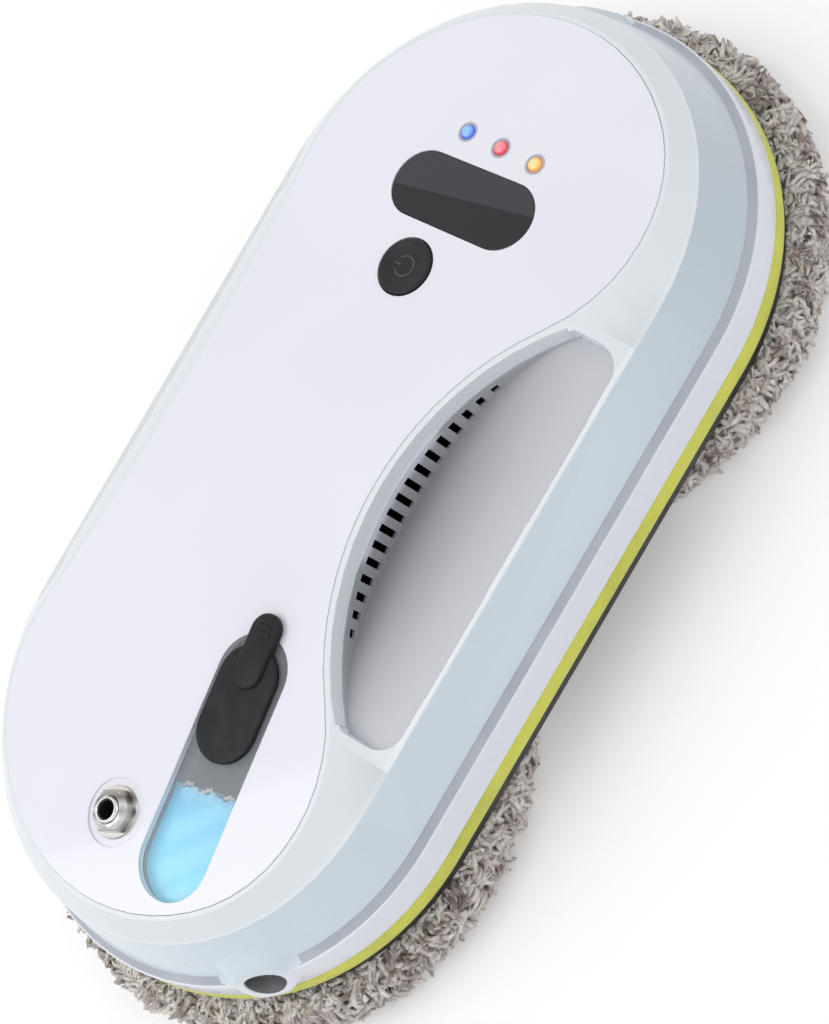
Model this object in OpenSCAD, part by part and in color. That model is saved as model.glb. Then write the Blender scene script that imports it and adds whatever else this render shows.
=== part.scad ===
// Window cleaning robot: two turning microfibre pads under a suction body.
// X runs along the body, the grip recess faces -Y, +Z points away from the window.

/* [Body] */
// Half the distance between the centres of the two body lobes
lobe_x = 72; // [70:0.5:75]
// Radius of the body at its bottom edge
body_r = 76; // [75:0.5:80]
// Height of the top plate above the surface that the pads rest on
body_h = 61.6; // [61:0.1:66]
// Thickness of the housing walls
wall_t = 2.2; // [1.8:0.1:2.6]
// Radius of the glossy top plate at the lobes
panel_r = 60.4; // [59:0.1:62]
// Thickness of the glossy top plate
panel_t = 2; // [1.5:0.1:2.4]

/* [Grip recess] */
// Radius of the concave wall of the grip recess
grip_r = 76.9; // [72:0.1:80]
// Distance from the long axis to the nearest point of that wall
grip_y = 24.5; // [24:0.1:26]
// Half length of the grip recess
grip_half = 57.4; // [54:0.1:60]
// Deepest point of the grip recess below its rim
grip_depth = 11.6; // [8:0.1:12]
// Number of air slots in the recess wall
slot_n = 19; // [9:2:21]
// Width of one air slot
slot_w = 1.8; // [1:0.1:2.4]
// Distance from slot to slot
slot_pitch = 4.55; // [4:0.05:4.8]

/* [Pads and wheels] */
// Half the distance between the two wheel axes
wheel_x = 78; // [78:0.1:80]
// Outer radius of a cleaning pad
pad_r = 77.7; // [74:0.1:77.8]
// Radius of the suction hole in a pad
pad_hole_r = 26; // [24:0.5:30]
// Thickness of a pad under the wheel
pad_t = 13.5; // [12:0.1:14]
// Radius of the wheel disc
disc_r = 70; // [66:0.5:71]
// Thickness of the wheel disc
disc_t = 2.7; // [2:0.1:3]
// Outer radius of the hollow wheel hub
hub_r = 22; // [20:0.1:23]
// Radius of the suction bore in the hub
hub_bore_r = 17; // [14:0.1:18]
// Module of the wheel gears
gear_module = 1.5; // [1.2:0.05:1.5]
// Teeth on the wheel gear
wheel_teeth = 44; // [40:1:45]
// Teeth on the motor pinion
pinion_teeth = 12; // [10:1:14]

/* [Fan] */
// Radius of the impeller
impeller_r = 26; // [22:0.5:27]
// Number of impeller blades
blade_n = 13; // [7:1:17]
// Outer radius of the fan housing
fan_r = 31; // [30:0.5:32]

/* [Water system] */
// Radius of the ends of the tank window
tank_window_r = 11; // [10:0.1:11.5]
// Length between the end centres of the tank window
tank_window_l = 50.2; // [46:0.1:52]
// Turn of the tank away from the long axis in degrees
tank_turn = 9.3; // [4:0.1:10]
// Radius of the spray hole in a nozzle cowl
spray_hole_r = 5.2; // [4.5:0.1:5.4]

/* [Controls] */
// Radius of the power button
button_r = 8.2; // [7:0.1:8.5]
// Travel of the power button
button_travel = 0.8; // [0.4:0.1:1]
// Length of the infrared window
ir_l = 48; // [40:0.5:48]
// Radius of the infrared window ends
ir_r = 9.6; // [8:0.1:9.8]
// Radius of a status light
led_r = 2.1; // [1.5:0.1:2.5]
// Distance between status lights
led_pitch = 12.5; // [10:0.1:13]

/* [Power inlet] */
// Radius of the socket bore of the power inlet
jack_bore_r = 2.8; // [2.5:0.1:2.9]
// Outer radius of the barrel of the power inlet
jack_barrel_r = 3.4; // [3.3:0.1:3.8]
// Height of the barrel tip above the top plate
jack_rise = 4.3; // [3:0.1:5]
// Corner radius of the hexagon nut
nut_r = 6.3; // [6:0.1:7]

/* [Hidden] */
$fn = 96;

// Clearances and small common sizes
cut = 1;
fit_gap = 0.15;
run_gap = 0.05;
air_gap = 0.3;
seam_gap = 0.12;
sides = [-1, 1];

// Heights, counted up from the surface under the pads
hook_t = 0.8;
hook_z = pad_t;
disc_z = hook_z + hook_t;
disc_top = disc_z + disc_t;
base_gap = 1;
base_z = disc_top + base_gap;
base_t = 2.5;
base_top = base_z + base_t;
lip_h = 4;
lip_w = 3.5;
gasket_z = base_z + lip_h;
gasket_h = 5.6;
rim_z = gasket_z + gasket_h;
rim_h = 9.4;
trim_z = rim_z + rim_h;
trim_h = 1.6;
house_z = trim_z + trim_h;
skirt_h = 5.3;
skirt_z = body_h - skirt_h;

// Radii of the body section about the lobe centres
gasket_bulge = 0.6;
gasket_in = 3.1;
lip_inset = 0.5;
plate_r = body_r - lip_inset;
rim_slope = 1.2;
rim_top_r = body_r - rim_slope;
trim_in = 2.6;
trim_seat = 3.2;
house_r = rim_top_r - trim_in;
wall_slope = 6.5;
skirt_r = house_r - wall_slope;

// Edge of the top plate: two lobes joined by a deep waist and a shallow waist
waist_grow = 1.5;
near_waist_r = grip_r + waist_grow;
near_waist_y = -(grip_y + grip_r);
near_blend_r = 44;
far_waist_r = 800;
far_apex_y = 55.2;
far_waist_y = far_apex_y + far_waist_r;
far_blend_r = 50;
panel_lip = 1.2;
panel_drop = 0.3;
panel_z = body_h - panel_t;
ledge_w = 3.6;
ledge_t = 2;

// Centre of the blend arc between a lobe and a waist circle about (0, wy)
function blend_centre(wy, wr, br) =
    let (d = panel_r - br, reach = wr + br,
         k = (reach * reach - lobe_x * lobe_x - wy * wy - d * d) / (2 * d * norm([lobe_x, wy])),
         a = atan2(-wy, lobe_x) + sign(wy) * acos(k))
    [lobe_x + d * cos(a), d * sin(a)];
near_blend = blend_centre(near_waist_y, near_waist_r, near_blend_r);
far_blend = blend_centre(far_waist_y, far_waist_r, far_blend_r);

// Distance from p along the unit vector u to the circle about c with radius r
function ray_to(p, u, c, r) = let (w = c - p, m = u * w) m + sqrt(m * m - w * w + r * r);
function ray_from(p, u, c, r) = let (w = c - p, m = u * w) m - sqrt(m * m - w * w + r * r);

// Reach of the plate edge from the spine point p along u, grown by g
function plate_reach(p, u, g) =
    let (far = u[1] >= 0,
         b = far ? far_blend : near_blend,
         br = far ? far_blend_r : near_blend_r,
         wy = far ? far_waist_y : near_waist_y,
         wr = far ? far_waist_r : near_waist_r,
         meet_x = b[0] * (wr - g) / (wr + br),
         side = p[0] < 0 ? -1 : 1,
         on_cap = abs(p[0]) >= lobe_x,
         to_blend = on_cap || abs(p[0]) > meet_x ? ray_to(p, u, [side * b[0], b[1]], br + g) : 0,
         to_lobe = ray_to(p, u, [side * lobe_x, 0], panel_r + g),
         hit = p + u * to_lobe,
         blend_a = abs(atan2(b[1], b[0] - lobe_x)),
         hit_a = abs(atan2(hit[1], abs(hit[0]) - lobe_x)))
    abs(p[0] + u[0] * to_blend) < meet_x ? ray_from(p, u, [0, wy], wr - g)
    : hit_a > blend_a ? to_blend : to_lobe;

// Spine stations around the body: spine point and outward direction
cap_steps = 30;
side_steps = 24;
stations = [
    for (i = [0 : cap_steps]) let (a = -90 + 180 * i / cap_steps)
        [[lobe_x, 0], [cos(a), sin(a)]],
    for (i = [1 : side_steps - 1]) [[lobe_x * (1 - 2 * i / side_steps), 0], [0, 1]],
    for (i = [0 : cap_steps]) let (a = 90 + 180 * i / cap_steps)
        [[-lobe_x, 0], [cos(a), sin(a)]],
    for (i = [1 : side_steps - 1]) [[-lobe_x * (1 - 2 * i / side_steps), 0], [0, -1]]];
function body_ring(r, z) = [for (s = stations) let (q = s[0] + s[1] * r) [q[0], q[1], z]];
function plate_ring(g, z) =
    [for (s = stations) let (q = s[0] + s[1] * plate_reach(s[0], s[1], g)) [q[0], q[1], z]];
module plate_outline(g) {
    polygon([for (s = stations) s[0] + s[1] * plate_reach(s[0], s[1], g)]);
}

// Skin through a list of rings, closed at both ends
module skin(rings) {
    n = len(rings[0]);
    m = len(rings);
    polyhedron(
        [for (r = rings) each r],
        concat(
            [[for (i = [0 : n - 1]) i]],
            [for (j = [0 : m - 2], i = [0 : n - 1]) each
                let (a = j * n + i, b = j * n + (i + 1) % n)
                [[a, b + n, b], [a, a + n, b + n]]],
            [[for (i = [n - 1 : -1 : 0]) (m - 1) * n + i]]),
        convexity = 6);
}

// Band around the body from a profile of [radius, z] points
module body_band(profile) {
    for (s = sides) translate([s * lobe_x, 0, 0]) rotate([0, 0, -s * 90])
        rotate_extrude(angle = 180) polygon(profile);
    for (s = sides) translate([-s * lobe_x, 0, 0]) rotate([90, 0, s * 90])
        linear_extrude(2 * lobe_x) polygon(profile);
}
module body_slab(r, h) {
    for (s = sides) translate([s * lobe_x, 0, 0]) cylinder(r = r, h = h);
    translate([-lobe_x, -r, 0]) cube([2 * lobe_x, 2 * r, h]);
}

// Stadium plate between two points
end_steps = 32;
module stadium(a, b, r, h) {
    turn = atan2(b[1] - a[1], b[0] - a[0]);
    linear_extrude(h) polygon([for (e = [0, 1], i = [0 : end_steps])
        let (t = turn + 90 + 180 * (e + i / end_steps))
        (e == 0 ? a : b) + r * [cos(t), sin(t)]]);
}

// Grip recess: a wall about the waist centre and a scooped floor
recess_edge = 1.4;
recess_out_y = recess_edge - skirt_r;
recess_corner_r = 7;
corner_steps = 8;
tub_wall = 1.8;
recess_rows = 8;
recess_cols = 24;
function scoop_z(x, y) =
    let (along = 1 - pow(x / grip_half, 2),
         across = (y - recess_out_y) / (-grip_y - recess_out_y))
    skirt_z - grip_depth * max(0, along) * max(0, across);
module recess_plan(wall, shrink) {
    r = recess_corner_r - shrink;
    cx = grip_half - recess_corner_r;
    cy = recess_out_y + recess_corner_r;
    intersection() {
        polygon(concat(
            [for (i = [0 : corner_steps]) let (a = 180 + 90 * i / corner_steps)
                [-cx + r * cos(a), cy + r * sin(a)]],
            [for (i = [0 : corner_steps]) let (a = 270 + 90 * i / corner_steps)
                [cx + r * cos(a), cy + r * sin(a)]],
            [[cx + r, 0], [-cx - r, 0]]));
        translate([0, near_waist_y]) circle(grip_r + wall, $fn = 256);
    }
}
// Air above the scooped floor, lowered by drop
module scoop_air(drop) {
    half = grip_half + cut;
    reach = -grip_y + 2 * tub_wall - recess_out_y + cut;
    n = recess_cols + 1;
    m = recess_rows + 1;
    low = [for (j = [0 : m - 1], i = [0 : n - 1])
        let (x = -half + 2 * half * i / recess_cols, y = recess_out_y - cut + reach * j / recess_rows)
        [x, y, scoop_z(x, y) - drop]];
    k = len(low);
    high = [for (p = low) [p[0], p[1], body_h + cut]];
    rim = concat([for (i = [0 : n - 2]) i], [for (j = [0 : m - 2]) j * n + n - 1],
        [for (i = [n - 1 : -1 : 1]) (m - 1) * n + i], [for (j = [m - 1 : -1 : 1]) j * n]);
    polyhedron(concat(low, high), concat(
        [for (j = [0 : m - 2], i = [0 : n - 2]) each
            let (a = j * n + i) [[a, a + 1, a + n + 1], [a, a + n + 1, a + n]]],
        [for (i = [0 : len(rim) - 1]) each let (a = rim[i], b = rim[(i + 1) % len(rim)])
            [[a, b + k, b], [a, a + k, b + k]]],
        [for (j = [0 : m - 2], i = [0 : n - 2]) each
            let (a = k + j * n + i) [[a, a + n + 1, a + 1], [a, a + n, a + n + 1]]]), convexity = 4);
}

// Places on the top plate
tank_dir = [cos(tank_turn), sin(tank_turn)];
tank_mid = [-83.35, -22.65];
tank_a = tank_mid - tank_dir * tank_window_l / 2;
tank_b = tank_mid + tank_dir * tank_window_l / 2;
jack_at = [-108.4, -2.9];
jack_neck_r = 4.6;
jack_dish = 0.5;
jack_dish_r = 9.2;
ir_at = [76.3, 1];
ir_span = [0, ir_l / 2 - ir_r];
button_at = [53.8, 5.9];
led_at = [92.9, -1.9];
led_lean = 0.8;
function led_place(i) = led_at + [led_lean * i, led_pitch * i];

// Spray nozzle cowls: arched tunnels that stand proud of the side wall
nozzle_turns = [225, 9];
cowl_gap = 0.12;
cowl_w = 21;
cowl_in_r = 64;
cowl_z = 34;
cowl_foot = 0.6;
cowl_low = rim_z + cowl_foot;
cowl_inset = 0.2;
cowl_top_r = 71.6;
cowl_steps = 16;
cowl_proud = 0.1;
module nozzle_frame(s) {
    translate([s * lobe_x, 0, cowl_z]) rotate([0, 0, nozzle_turns[s < 0 ? 0 : 1]]) children();
}
module cowl_arch(s, grow, reach) {
    r = cowl_w / 2 + grow;
    nozzle_frame(s) translate([cowl_in_r - grow, 0, 0]) rotate([90, 0, 90])
        linear_extrude(reach) polygon(concat(
            [[-r, cowl_low - grow - cowl_z], [r, cowl_low - grow - cowl_z]],
            [for (i = [0 : cowl_steps]) let (a = 180 * i / cowl_steps) r * [cos(a), sin(a)]]));
}
module cowl_blocks() {
    for (s = sides) cowl_arch(s, cowl_gap, body_r);
}

// Glossy top plate with its windows
module top_panel() {
    color("white") difference() {
        translate([0, 0, panel_z]) linear_extrude(panel_t) plate_outline(-panel_lip - seam_gap);
        translate([0, 0, panel_z - cut]) {
            stadium(tank_a, tank_b, tank_window_r + seam_gap, panel_t + 2 * cut);
            stadium(ir_at - ir_span, ir_at + ir_span, ir_r + seam_gap, panel_t + 2 * cut);
            translate(button_at) cylinder(r = button_r + air_gap, h = panel_t + 2 * cut);
            for (i = [-1 : 1]) translate(led_place(i))
                cylinder(r = led_r + run_gap, h = panel_t + 2 * cut);
            translate(jack_at) cylinder(r = jack_neck_r + fit_gap, h = panel_t + 2 * cut);
        }
        translate([jack_at[0], jack_at[1], body_h - jack_dish]) cylinder(r = jack_dish_r, h = cut);
    }
}

// Skirt, side wall and the ledge that the top plate lies on
waist_steps = 16;
waist_slice = 0.02;
waist_lip = 0.4;
// Bevel between the plate edge and the recess wall, cut as short straight runs
module waist_bevel() {
    half = asin(grip_half / near_waist_r);
    for (i = [0 : waist_steps - 1]) hull() for (k = [i, i + 1])
        translate([0, near_waist_y, 0]) rotate([90, 0, 90 - half + 2 * half * k / waist_steps])
            linear_extrude(waist_slice) polygon([[grip_r / 2, skirt_z - cut],
                [grip_r + waist_lip, skirt_z - cut], [near_waist_r - waist_lip, body_h + cut],
                [grip_r / 2, body_h + cut]]);
}
module upper_housing() {
    inner_grow = (house_r - skirt_r) / (skirt_z - house_z) * cut;
    color("aliceblue") difference() {
        skin([body_ring(house_r, house_z), body_ring(skirt_r, skirt_z),
            plate_ring(0, body_h - panel_drop)]);
        difference() {
            skin([body_ring(house_r - wall_t + inner_grow, house_z - cut),
                body_ring(skirt_r - wall_t, skirt_z - wall_t),
                plate_ring(-ledge_w, panel_z - ledge_t)]);
            translate([0, near_waist_y, skirt_z])
                cylinder(r = near_waist_r + wall_t, h = skirt_h, $fn = 256);
        }
        translate([0, 0, panel_z]) linear_extrude(body_h) plate_outline(-panel_lip);
        translate([0, 0, skirt_z]) linear_extrude(body_h)
            plate_outline(-panel_lip - ledge_w);
        translate([0, 0, skirt_z - wall_t - cut]) linear_extrude(body_h) recess_plan(0, 0);
        intersection() {
            waist_bevel();
            translate([-grip_half, -skirt_r, skirt_z - cut / 2])
                cube([2 * grip_half, skirt_r, body_h]);
        }
        translate([0, 0, house_z - cut]) linear_extrude(skirt_z - house_z + cut)
            recess_plan(tub_wall + seam_gap, 0);
        cowl_blocks();
        translate([0, 0, tank_z - fit_gap])
            stadium(tank_a, tank_b, tank_body_r + fit_gap, panel_z - tank_z + fit_gap + run_gap);
    }
}

// Scooped grip recess with the row of air slots
slot_drop = 2;
slot_top_z = skirt_z - slot_drop;
slot_foot = 0.9;
module grip_tub() {
    color("lavender") difference() {
        intersection() {
            linear_extrude(skirt_z) recess_plan(tub_wall, seam_gap);
            scoop_air(tub_wall);
        }
        intersection() {
            linear_extrude(body_h) recess_plan(0, -cut);
            scoop_air(0);
        }
        for (i = [-(slot_n - 1) / 2 : (slot_n - 1) / 2]) {
            x = i * slot_pitch;
            y = near_waist_y + sqrt(grip_r * grip_r - x * x);
            foot = scoop_z(x, y) + slot_foot;
            if (slot_top_z - foot > slot_w)
                translate([x - slot_w / 2, y - 2 * tub_wall, foot])
                    cube([slot_w, 5 * tub_wall, slot_top_z - foot]);
        }
    }
}

// Grey shadow strip between the two halves of the body
module groove_trim() {
    color("darkgray") difference() {
        body_band([[rim_top_r, trim_z], [house_r, house_z], [house_r - trim_seat, house_z],
            [house_r - trim_seat, trim_z]]);
        cowl_blocks();
    }
}

// White lower rim that clamps the gasket on the base plate
module lower_housing() {
    in_r = body_r - gasket_in;
    color("ghostwhite") difference() {
        body_band([[body_r, rim_z], [rim_top_r, trim_z], [house_r - trim_seat, trim_z],
            [house_r - trim_seat, trim_z - wall_t], [in_r - wall_t, rim_z + wall_t],
            [in_r - wall_t, gasket_z], [in_r - fit_gap, gasket_z], [in_r - fit_gap, rim_z]]);
        cowl_blocks();
    }
}

// Lime bumper gasket around the edge
module edge_gasket() {
    color("yellowgreen") body_band([[body_r - gasket_in, gasket_z],
        [body_r + gasket_bulge, gasket_z], [body_r + gasket_bulge, gasket_z + gasket_h / 2],
        [body_r, rim_z], [body_r - gasket_in, rim_z]]);
}

// Drive train places and sizes
wheel_pitch_r = gear_module * wheel_teeth / 2;
pinion_pitch_r = gear_module * pinion_teeth / 2;
drive_centres = wheel_pitch_r + pinion_pitch_r;
drive_lean = 10;
function wheel_at(s) = [s * wheel_x, 0];
function drive_turn(s) = 90 - s * drive_lean;
function drive_at(s) = wheel_at(s) + drive_centres * [cos(drive_turn(s)), sin(drive_turn(s))];
bush_t = 3;
bush_flange = 3;
bush_flange_t = 2;
bush_h = 6.5;
bush_top = base_top + bush_h;
gear_z = bush_top + air_gap;
gear_h = 6;
gear_play = 0.5;
hub_rise = 3.5;
hub_top = gear_z + gear_h + hub_rise;
pinion_z = gear_z - gear_play;
pinion_h = gear_h + 2 * gear_play;
pinion_shaft_r = 2.5;
shaft_boss_r = 5;
shaft_boss_h = 4;
motor_gap = 1;
motor_z = pinion_z + pinion_h + motor_gap;
gearbox_r = 12.5;
gearbox_h = 11;
can_r = 11;
can_h = 10;
ear_x = 17;
ear_r = 4.2;
ear_t = 2;
post_r = 3.4;
screw_r = 1.4;
screw_head_r = 2.7;
screw_head_h = 1.8;
screw_l = 7;

// Base plate with bosses for everything that stands on it
pillar_at = [[-34, -13], [34, -13], [-34, 30], [34, 30]];
pillar_r = 4;
duct_z = 34.6;
screw_at = [[0, 66], [0, -66], [62, 62], [-62, 62], [62, -62], [-62, -62], [132, 0], [-132, 0]];
screw_boss_r = 4.5;
module base_plate() {
    color("dimgray") difference() {
        union() {
            translate([0, 0, base_z]) difference() {
                body_slab(plate_r, lip_h);
                translate([0, 0, base_t]) body_slab(plate_r - lip_w, lip_h);
            }
            for (s = sides) {
                for (e = sides) translate(ear_place(s, e)) translate([0, 0, base_top - fit_gap])
                    cylinder(r = post_r, h = motor_z - base_top + fit_gap);
                translate(drive_at(s)) translate([0, 0, base_top - fit_gap])
                    cylinder(r = shaft_boss_r, h = shaft_boss_h);
            }
            for (p = pillar_at) translate([p[0], p[1], base_top - fit_gap])
                cylinder(r = pillar_r, h = duct_z - base_top + fit_gap);
            for (p = screw_at) translate([p[0], p[1], base_top - fit_gap])
                cylinder(r = screw_boss_r, h = lip_h);
        }
        for (s = sides) {
            translate(wheel_at(s)) translate([0, 0, base_z - cut])
                cylinder(r = hub_r + run_gap + bush_t + fit_gap, h = lip_h + 2 * cut);
            translate(drive_at(s)) translate([0, 0, base_top])
                cylinder(r = pinion_shaft_r + run_gap, h = lip_h + cut);
            for (e = sides) translate(ear_place(s, e)) translate([0, 0, motor_z - screw_l])
                cylinder(r = screw_r, h = screw_l + cut);
        }
        for (p = screw_at) translate([p[0], p[1], base_z - cut]) {
            cylinder(r = screw_r + fit_gap, h = lip_h + base_t + 2 * cut);
            cylinder(r = screw_head_r + fit_gap, h = screw_head_h + cut);
        }
    }
}
function ear_place(s, e) = drive_at(s) + e * ear_x * [-sin(drive_turn(s)), cos(drive_turn(s))];

// Wheel disc with its hollow hub
module wheel_disc(s) {
    color("dimgray") translate(wheel_at(s)) difference() {
        union() {
            translate([0, 0, disc_z]) cylinder(r = disc_r, h = disc_t, $fn = 128);
            translate([0, 0, disc_z]) cylinder(r = hub_r, h = hub_top - disc_z);
        }
        translate([0, 0, disc_z - cut]) cylinder(r = hub_bore_r, h = hub_top);
    }
}
hook_out_r = 66;
hook_in_r = 34;
module hook_ring(s) {
    color("darkslategray") translate(wheel_at(s)) translate([0, 0, hook_z]) difference() {
        cylinder(r = hook_out_r, h = hook_t);
        translate([0, 0, -cut]) cylinder(r = hook_in_r, h = hook_t + 2 * cut);
    }
}

// Microfibre pad: soft ring with a rolled edge that wraps the wheel disc
pad_edge_r = 6;
pad_crown = 3;
module pad(s) {
    rim_in = disc_r + fit_gap;
    color("rosybrown") translate(wheel_at(s)) rotate_extrude($fn = 128) polygon(concat(
        [[pad_hole_r + pad_crown, 0]],
        [for (i = [0 : corner_steps]) let (a = -90 + 90 * i / corner_steps)
            [pad_r - pad_edge_r + pad_edge_r * cos(a), pad_edge_r + pad_edge_r * sin(a)]],
        [[pad_r, disc_z], [pad_r - pad_crown / 2, disc_top - fit_gap],
         [rim_in, disc_top - fit_gap], [rim_in, hook_z], [pad_hole_r, hook_z],
         [pad_hole_r, pad_crown]]));
}

// Involute gear in plan: pitch radius from the module, thin teeth for backlash
pressure = 25;
tip_share = 0.8;
root_share = 1.1;
backlash = 0.24;
flank_steps = 3;
function inv(t) = tan(t) * 180 / PI - t;
function half_tooth(r, z, rho) =
    let (rb = r * cos(pressure), t = rho > rb ? acos(rb / rho) : 0)
    90 / z - backlash / 2 / r * 180 / PI + inv(pressure) - inv(t);
function gear_points(z) =
    let (r = gear_module * z / 2, tip = r + tip_share * gear_module,
         root = r - root_share * gear_module, low = max(root, r * cos(pressure)),
         up = [for (i = [0 : flank_steps]) low + (tip - low) * i / flank_steps])
    [for (k = [0 : z - 1]) let (c = 360 * k / z) each concat(
        low > root ? [root * [cos(c - half_tooth(r, z, low)), sin(c - half_tooth(r, z, low))]] : [],
        [for (i = [0 : flank_steps]) let (a = c - half_tooth(r, z, up[i])) up[i] * [cos(a), sin(a)]],
        [for (i = [flank_steps : -1 : 0]) let (a = c + half_tooth(r, z, up[i])) up[i] * [cos(a), sin(a)]],
        low > root ? [root * [cos(c + half_tooth(r, z, low)), sin(c + half_tooth(r, z, low))]] : [])];
module hub_gear(s) {
    color("ivory") translate(wheel_at(s)) translate([0, 0, gear_z]) difference() {
        rotate([0, 0, drive_turn(s)]) linear_extrude(gear_h) polygon(gear_points(wheel_teeth));
        translate([0, 0, -cut]) cylinder(r = hub_r, h = gear_h + 2 * cut);
    }
}
module hub_bush(s) {
    color("goldenrod") translate(wheel_at(s)) difference() {
        union() {
            translate([0, 0, disc_top + air_gap])
                cylinder(r = hub_r + run_gap + bush_t, h = bush_top - disc_top - air_gap);
            translate([0, 0, base_top])
                cylinder(r = hub_r + run_gap + bush_t + bush_flange, h = bush_flange_t);
        }
        translate([0, 0, disc_top]) cylinder(r = hub_r + run_gap, h = bush_top);
    }
}
module pinion(s) {
    color("goldenrod") translate(drive_at(s)) union() {
        translate([0, 0, pinion_z]) rotate([0, 0, drive_turn(s) + 180 + 180 / pinion_teeth])
            linear_extrude(pinion_h) polygon(gear_points(pinion_teeth));
        translate([0, 0, base_top + fit_gap])
            cylinder(r = pinion_shaft_r, h = motor_z + gearbox_h / 2 - base_top);
    }
}
// Gear motor: round gearbox with two ears and a motor can on top
module drive_motor(s) {
    color("silver") translate(drive_at(s)) difference() {
        union() {
            translate([0, 0, motor_z - fit_gap])
                cylinder(r = gearbox_r, h = gearbox_h + fit_gap);
            translate([0, 0, motor_z + gearbox_h - fit_gap]) cylinder(r = can_r, h = can_h + fit_gap);
            rotate([0, 0, drive_turn(s) + 90]) translate([0, 0, motor_z]) {
                stadium([-ear_x, 0], [ear_x, 0], ear_r, ear_t);
            }
        }
        translate([0, 0, motor_z - cut]) {
            cylinder(r = pinion_shaft_r + run_gap, h = cut + gearbox_h / 2 + 2 * fit_gap);
            rotate([0, 0, drive_turn(s) + 90]) for (e = sides) translate([e * ear_x, 0, 0])
                cylinder(r = screw_r + fit_gap, h = ear_t + 2 * cut);
        }
    }
}
module motor_screws() {
    color("silver") for (s = sides, e = sides) translate(ear_place(s, e)) {
        translate([0, 0, motor_z + ear_t]) cylinder(r = screw_head_r, h = screw_head_h);
        translate([0, 0, motor_z - screw_l + fit_gap])
            cylinder(r = screw_r - run_gap, h = screw_l + ear_t);
    }
}
module base_screws() {
    color("silver") for (p = screw_at) translate([p[0], p[1], base_z]) {
        cylinder(r = screw_head_r, h = screw_head_h);
        cylinder(r = screw_r, h = lip_h + base_t);
    }
}

// Suction duct: a flat hollow channel from both hubs to the fan inlet
fan_at = [0, 14];
duct_wall = 1.6;
duct_h = 8.7;
duct_cup_r = 26;
duct_fan_cup_r = 24;
duct_arm_w = 13;
fan_inlet_r = 14;
fan_shaft_r = 2;
shaft_seal_gap = 0.6;
module duct_plan(grow) {
    for (s = sides) translate(wheel_at(s)) circle(duct_cup_r + grow);
    translate(fan_at) circle(duct_fan_cup_r + grow);
    for (s = sides) polygon([
        wheel_at(s) + [0, -duct_arm_w - grow], wheel_at(s) + [0, duct_arm_w + grow],
        fan_at + [0, duct_arm_w + grow], fan_at + [0, -duct_arm_w - grow]]);
}
module suction_duct() {
    color("gray") difference() {
        translate([0, 0, duct_z]) union() {
            linear_extrude(duct_h) duct_plan(0);
            for (p = pillar_at) translate(p) cylinder(r = pillar_r, h = duct_wall);
            for (p = pillar_at) pillar_arm(p);
        }
        translate([0, 0, duct_z + duct_wall]) linear_extrude(duct_h - 2 * duct_wall)
            duct_plan(-duct_wall);
        for (s = sides) translate(wheel_at(s)) translate([0, 0, duct_z - cut])
            cylinder(r = hub_r + air_gap, h = duct_wall + 2 * cut);
        translate(fan_at) {
            translate([0, 0, duct_z + duct_h - duct_wall - cut])
                cylinder(r = fan_inlet_r, h = duct_wall + 2 * cut);
            translate([0, 0, duct_z - cut])
                cylinder(r = fan_shaft_r + shaft_seal_gap, h = duct_wall + 2 * cut);
        }
    }
}
pillar_arm_w = 6;
module pillar_arm(p) {
    d = fan_at - p;
    translate(p) rotate([0, 0, atan2(d[1], d[0])]) translate([0, -pillar_arm_w / 2, 0])
        cube([norm(d) / 2, pillar_arm_w, duct_wall]);
}

// Suction fan
fan_z = duct_z + duct_h;
fan_h = 13.6;
fan_wall = 2;
outlet_half = 20;
impeller_gap = 1;
impeller_back = 1.6;
blade_t = 1.2;
blade_bend = 38;
impeller_eye_r = 13;
impeller_hub_r = 5;
fan_motor_r = 15;
module fan_housing() {
    color("slategray") translate(fan_at) translate([0, 0, fan_z]) difference() {
        cylinder(r = fan_r, h = fan_h);
        translate([0, 0, fan_wall]) cylinder(r = fan_r - fan_wall, h = fan_h - 2 * fan_wall);
        translate([0, 0, -cut]) cylinder(r = fan_inlet_r, h = fan_wall + 2 * cut);
        translate([-outlet_half, -fan_r, fan_wall]) cube([2 * outlet_half, fan_r, fan_h - 2 * fan_wall]);
    }
}
module impeller() {
    z = fan_z + fan_wall + impeller_gap;
    h = fan_h - 2 * fan_wall - 2 * impeller_gap;
    color("lightslategray") translate(fan_at) translate([0, 0, z]) difference() {
        union() {
            translate([0, 0, h - impeller_back]) cylinder(r = impeller_r, h = impeller_back);
            cylinder(r = impeller_hub_r, h = h);
            for (k = [0 : blade_n - 1]) rotate([0, 0, 360 * k / blade_n])
                linear_extrude(h - impeller_back + fit_gap) polygon(blade_points());
        }
        translate([0, 0, -cut]) cylinder(r = fan_shaft_r, h = h + 2 * cut);
    }
}
blade_steps = 5;
function blade_edge(side) = [for (i = [0 : blade_steps])
    let (f = i / blade_steps, r = impeller_eye_r + (impeller_r - fit_gap - impeller_eye_r) * f,
         a = -blade_bend * f * f + side * blade_t / 2 / r * 180 / PI)
    r * [cos(a), sin(a)]];
function blade_points() = concat(blade_edge(-1), [for (i = [blade_steps : -1 : 0]) blade_edge(1)[i]]);
module fan_shaft() {
    top = fan_z + fan_h - fan_wall - impeller_gap;
    color("silver") translate(fan_at) translate([0, 0, base_top + shaft_boss_h])
        cylinder(r = fan_shaft_r, h = top - base_top - shaft_boss_h);
}
module fan_motor() {
    color("dimgray") translate(fan_at) difference() {
        translate([0, 0, base_top]) cylinder(r = fan_motor_r, h = duct_z - base_top);
        translate([0, 0, base_top + shaft_boss_h - fit_gap])
            cylinder(r = fan_shaft_r + run_gap, h = duct_z);
    }
}

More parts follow.
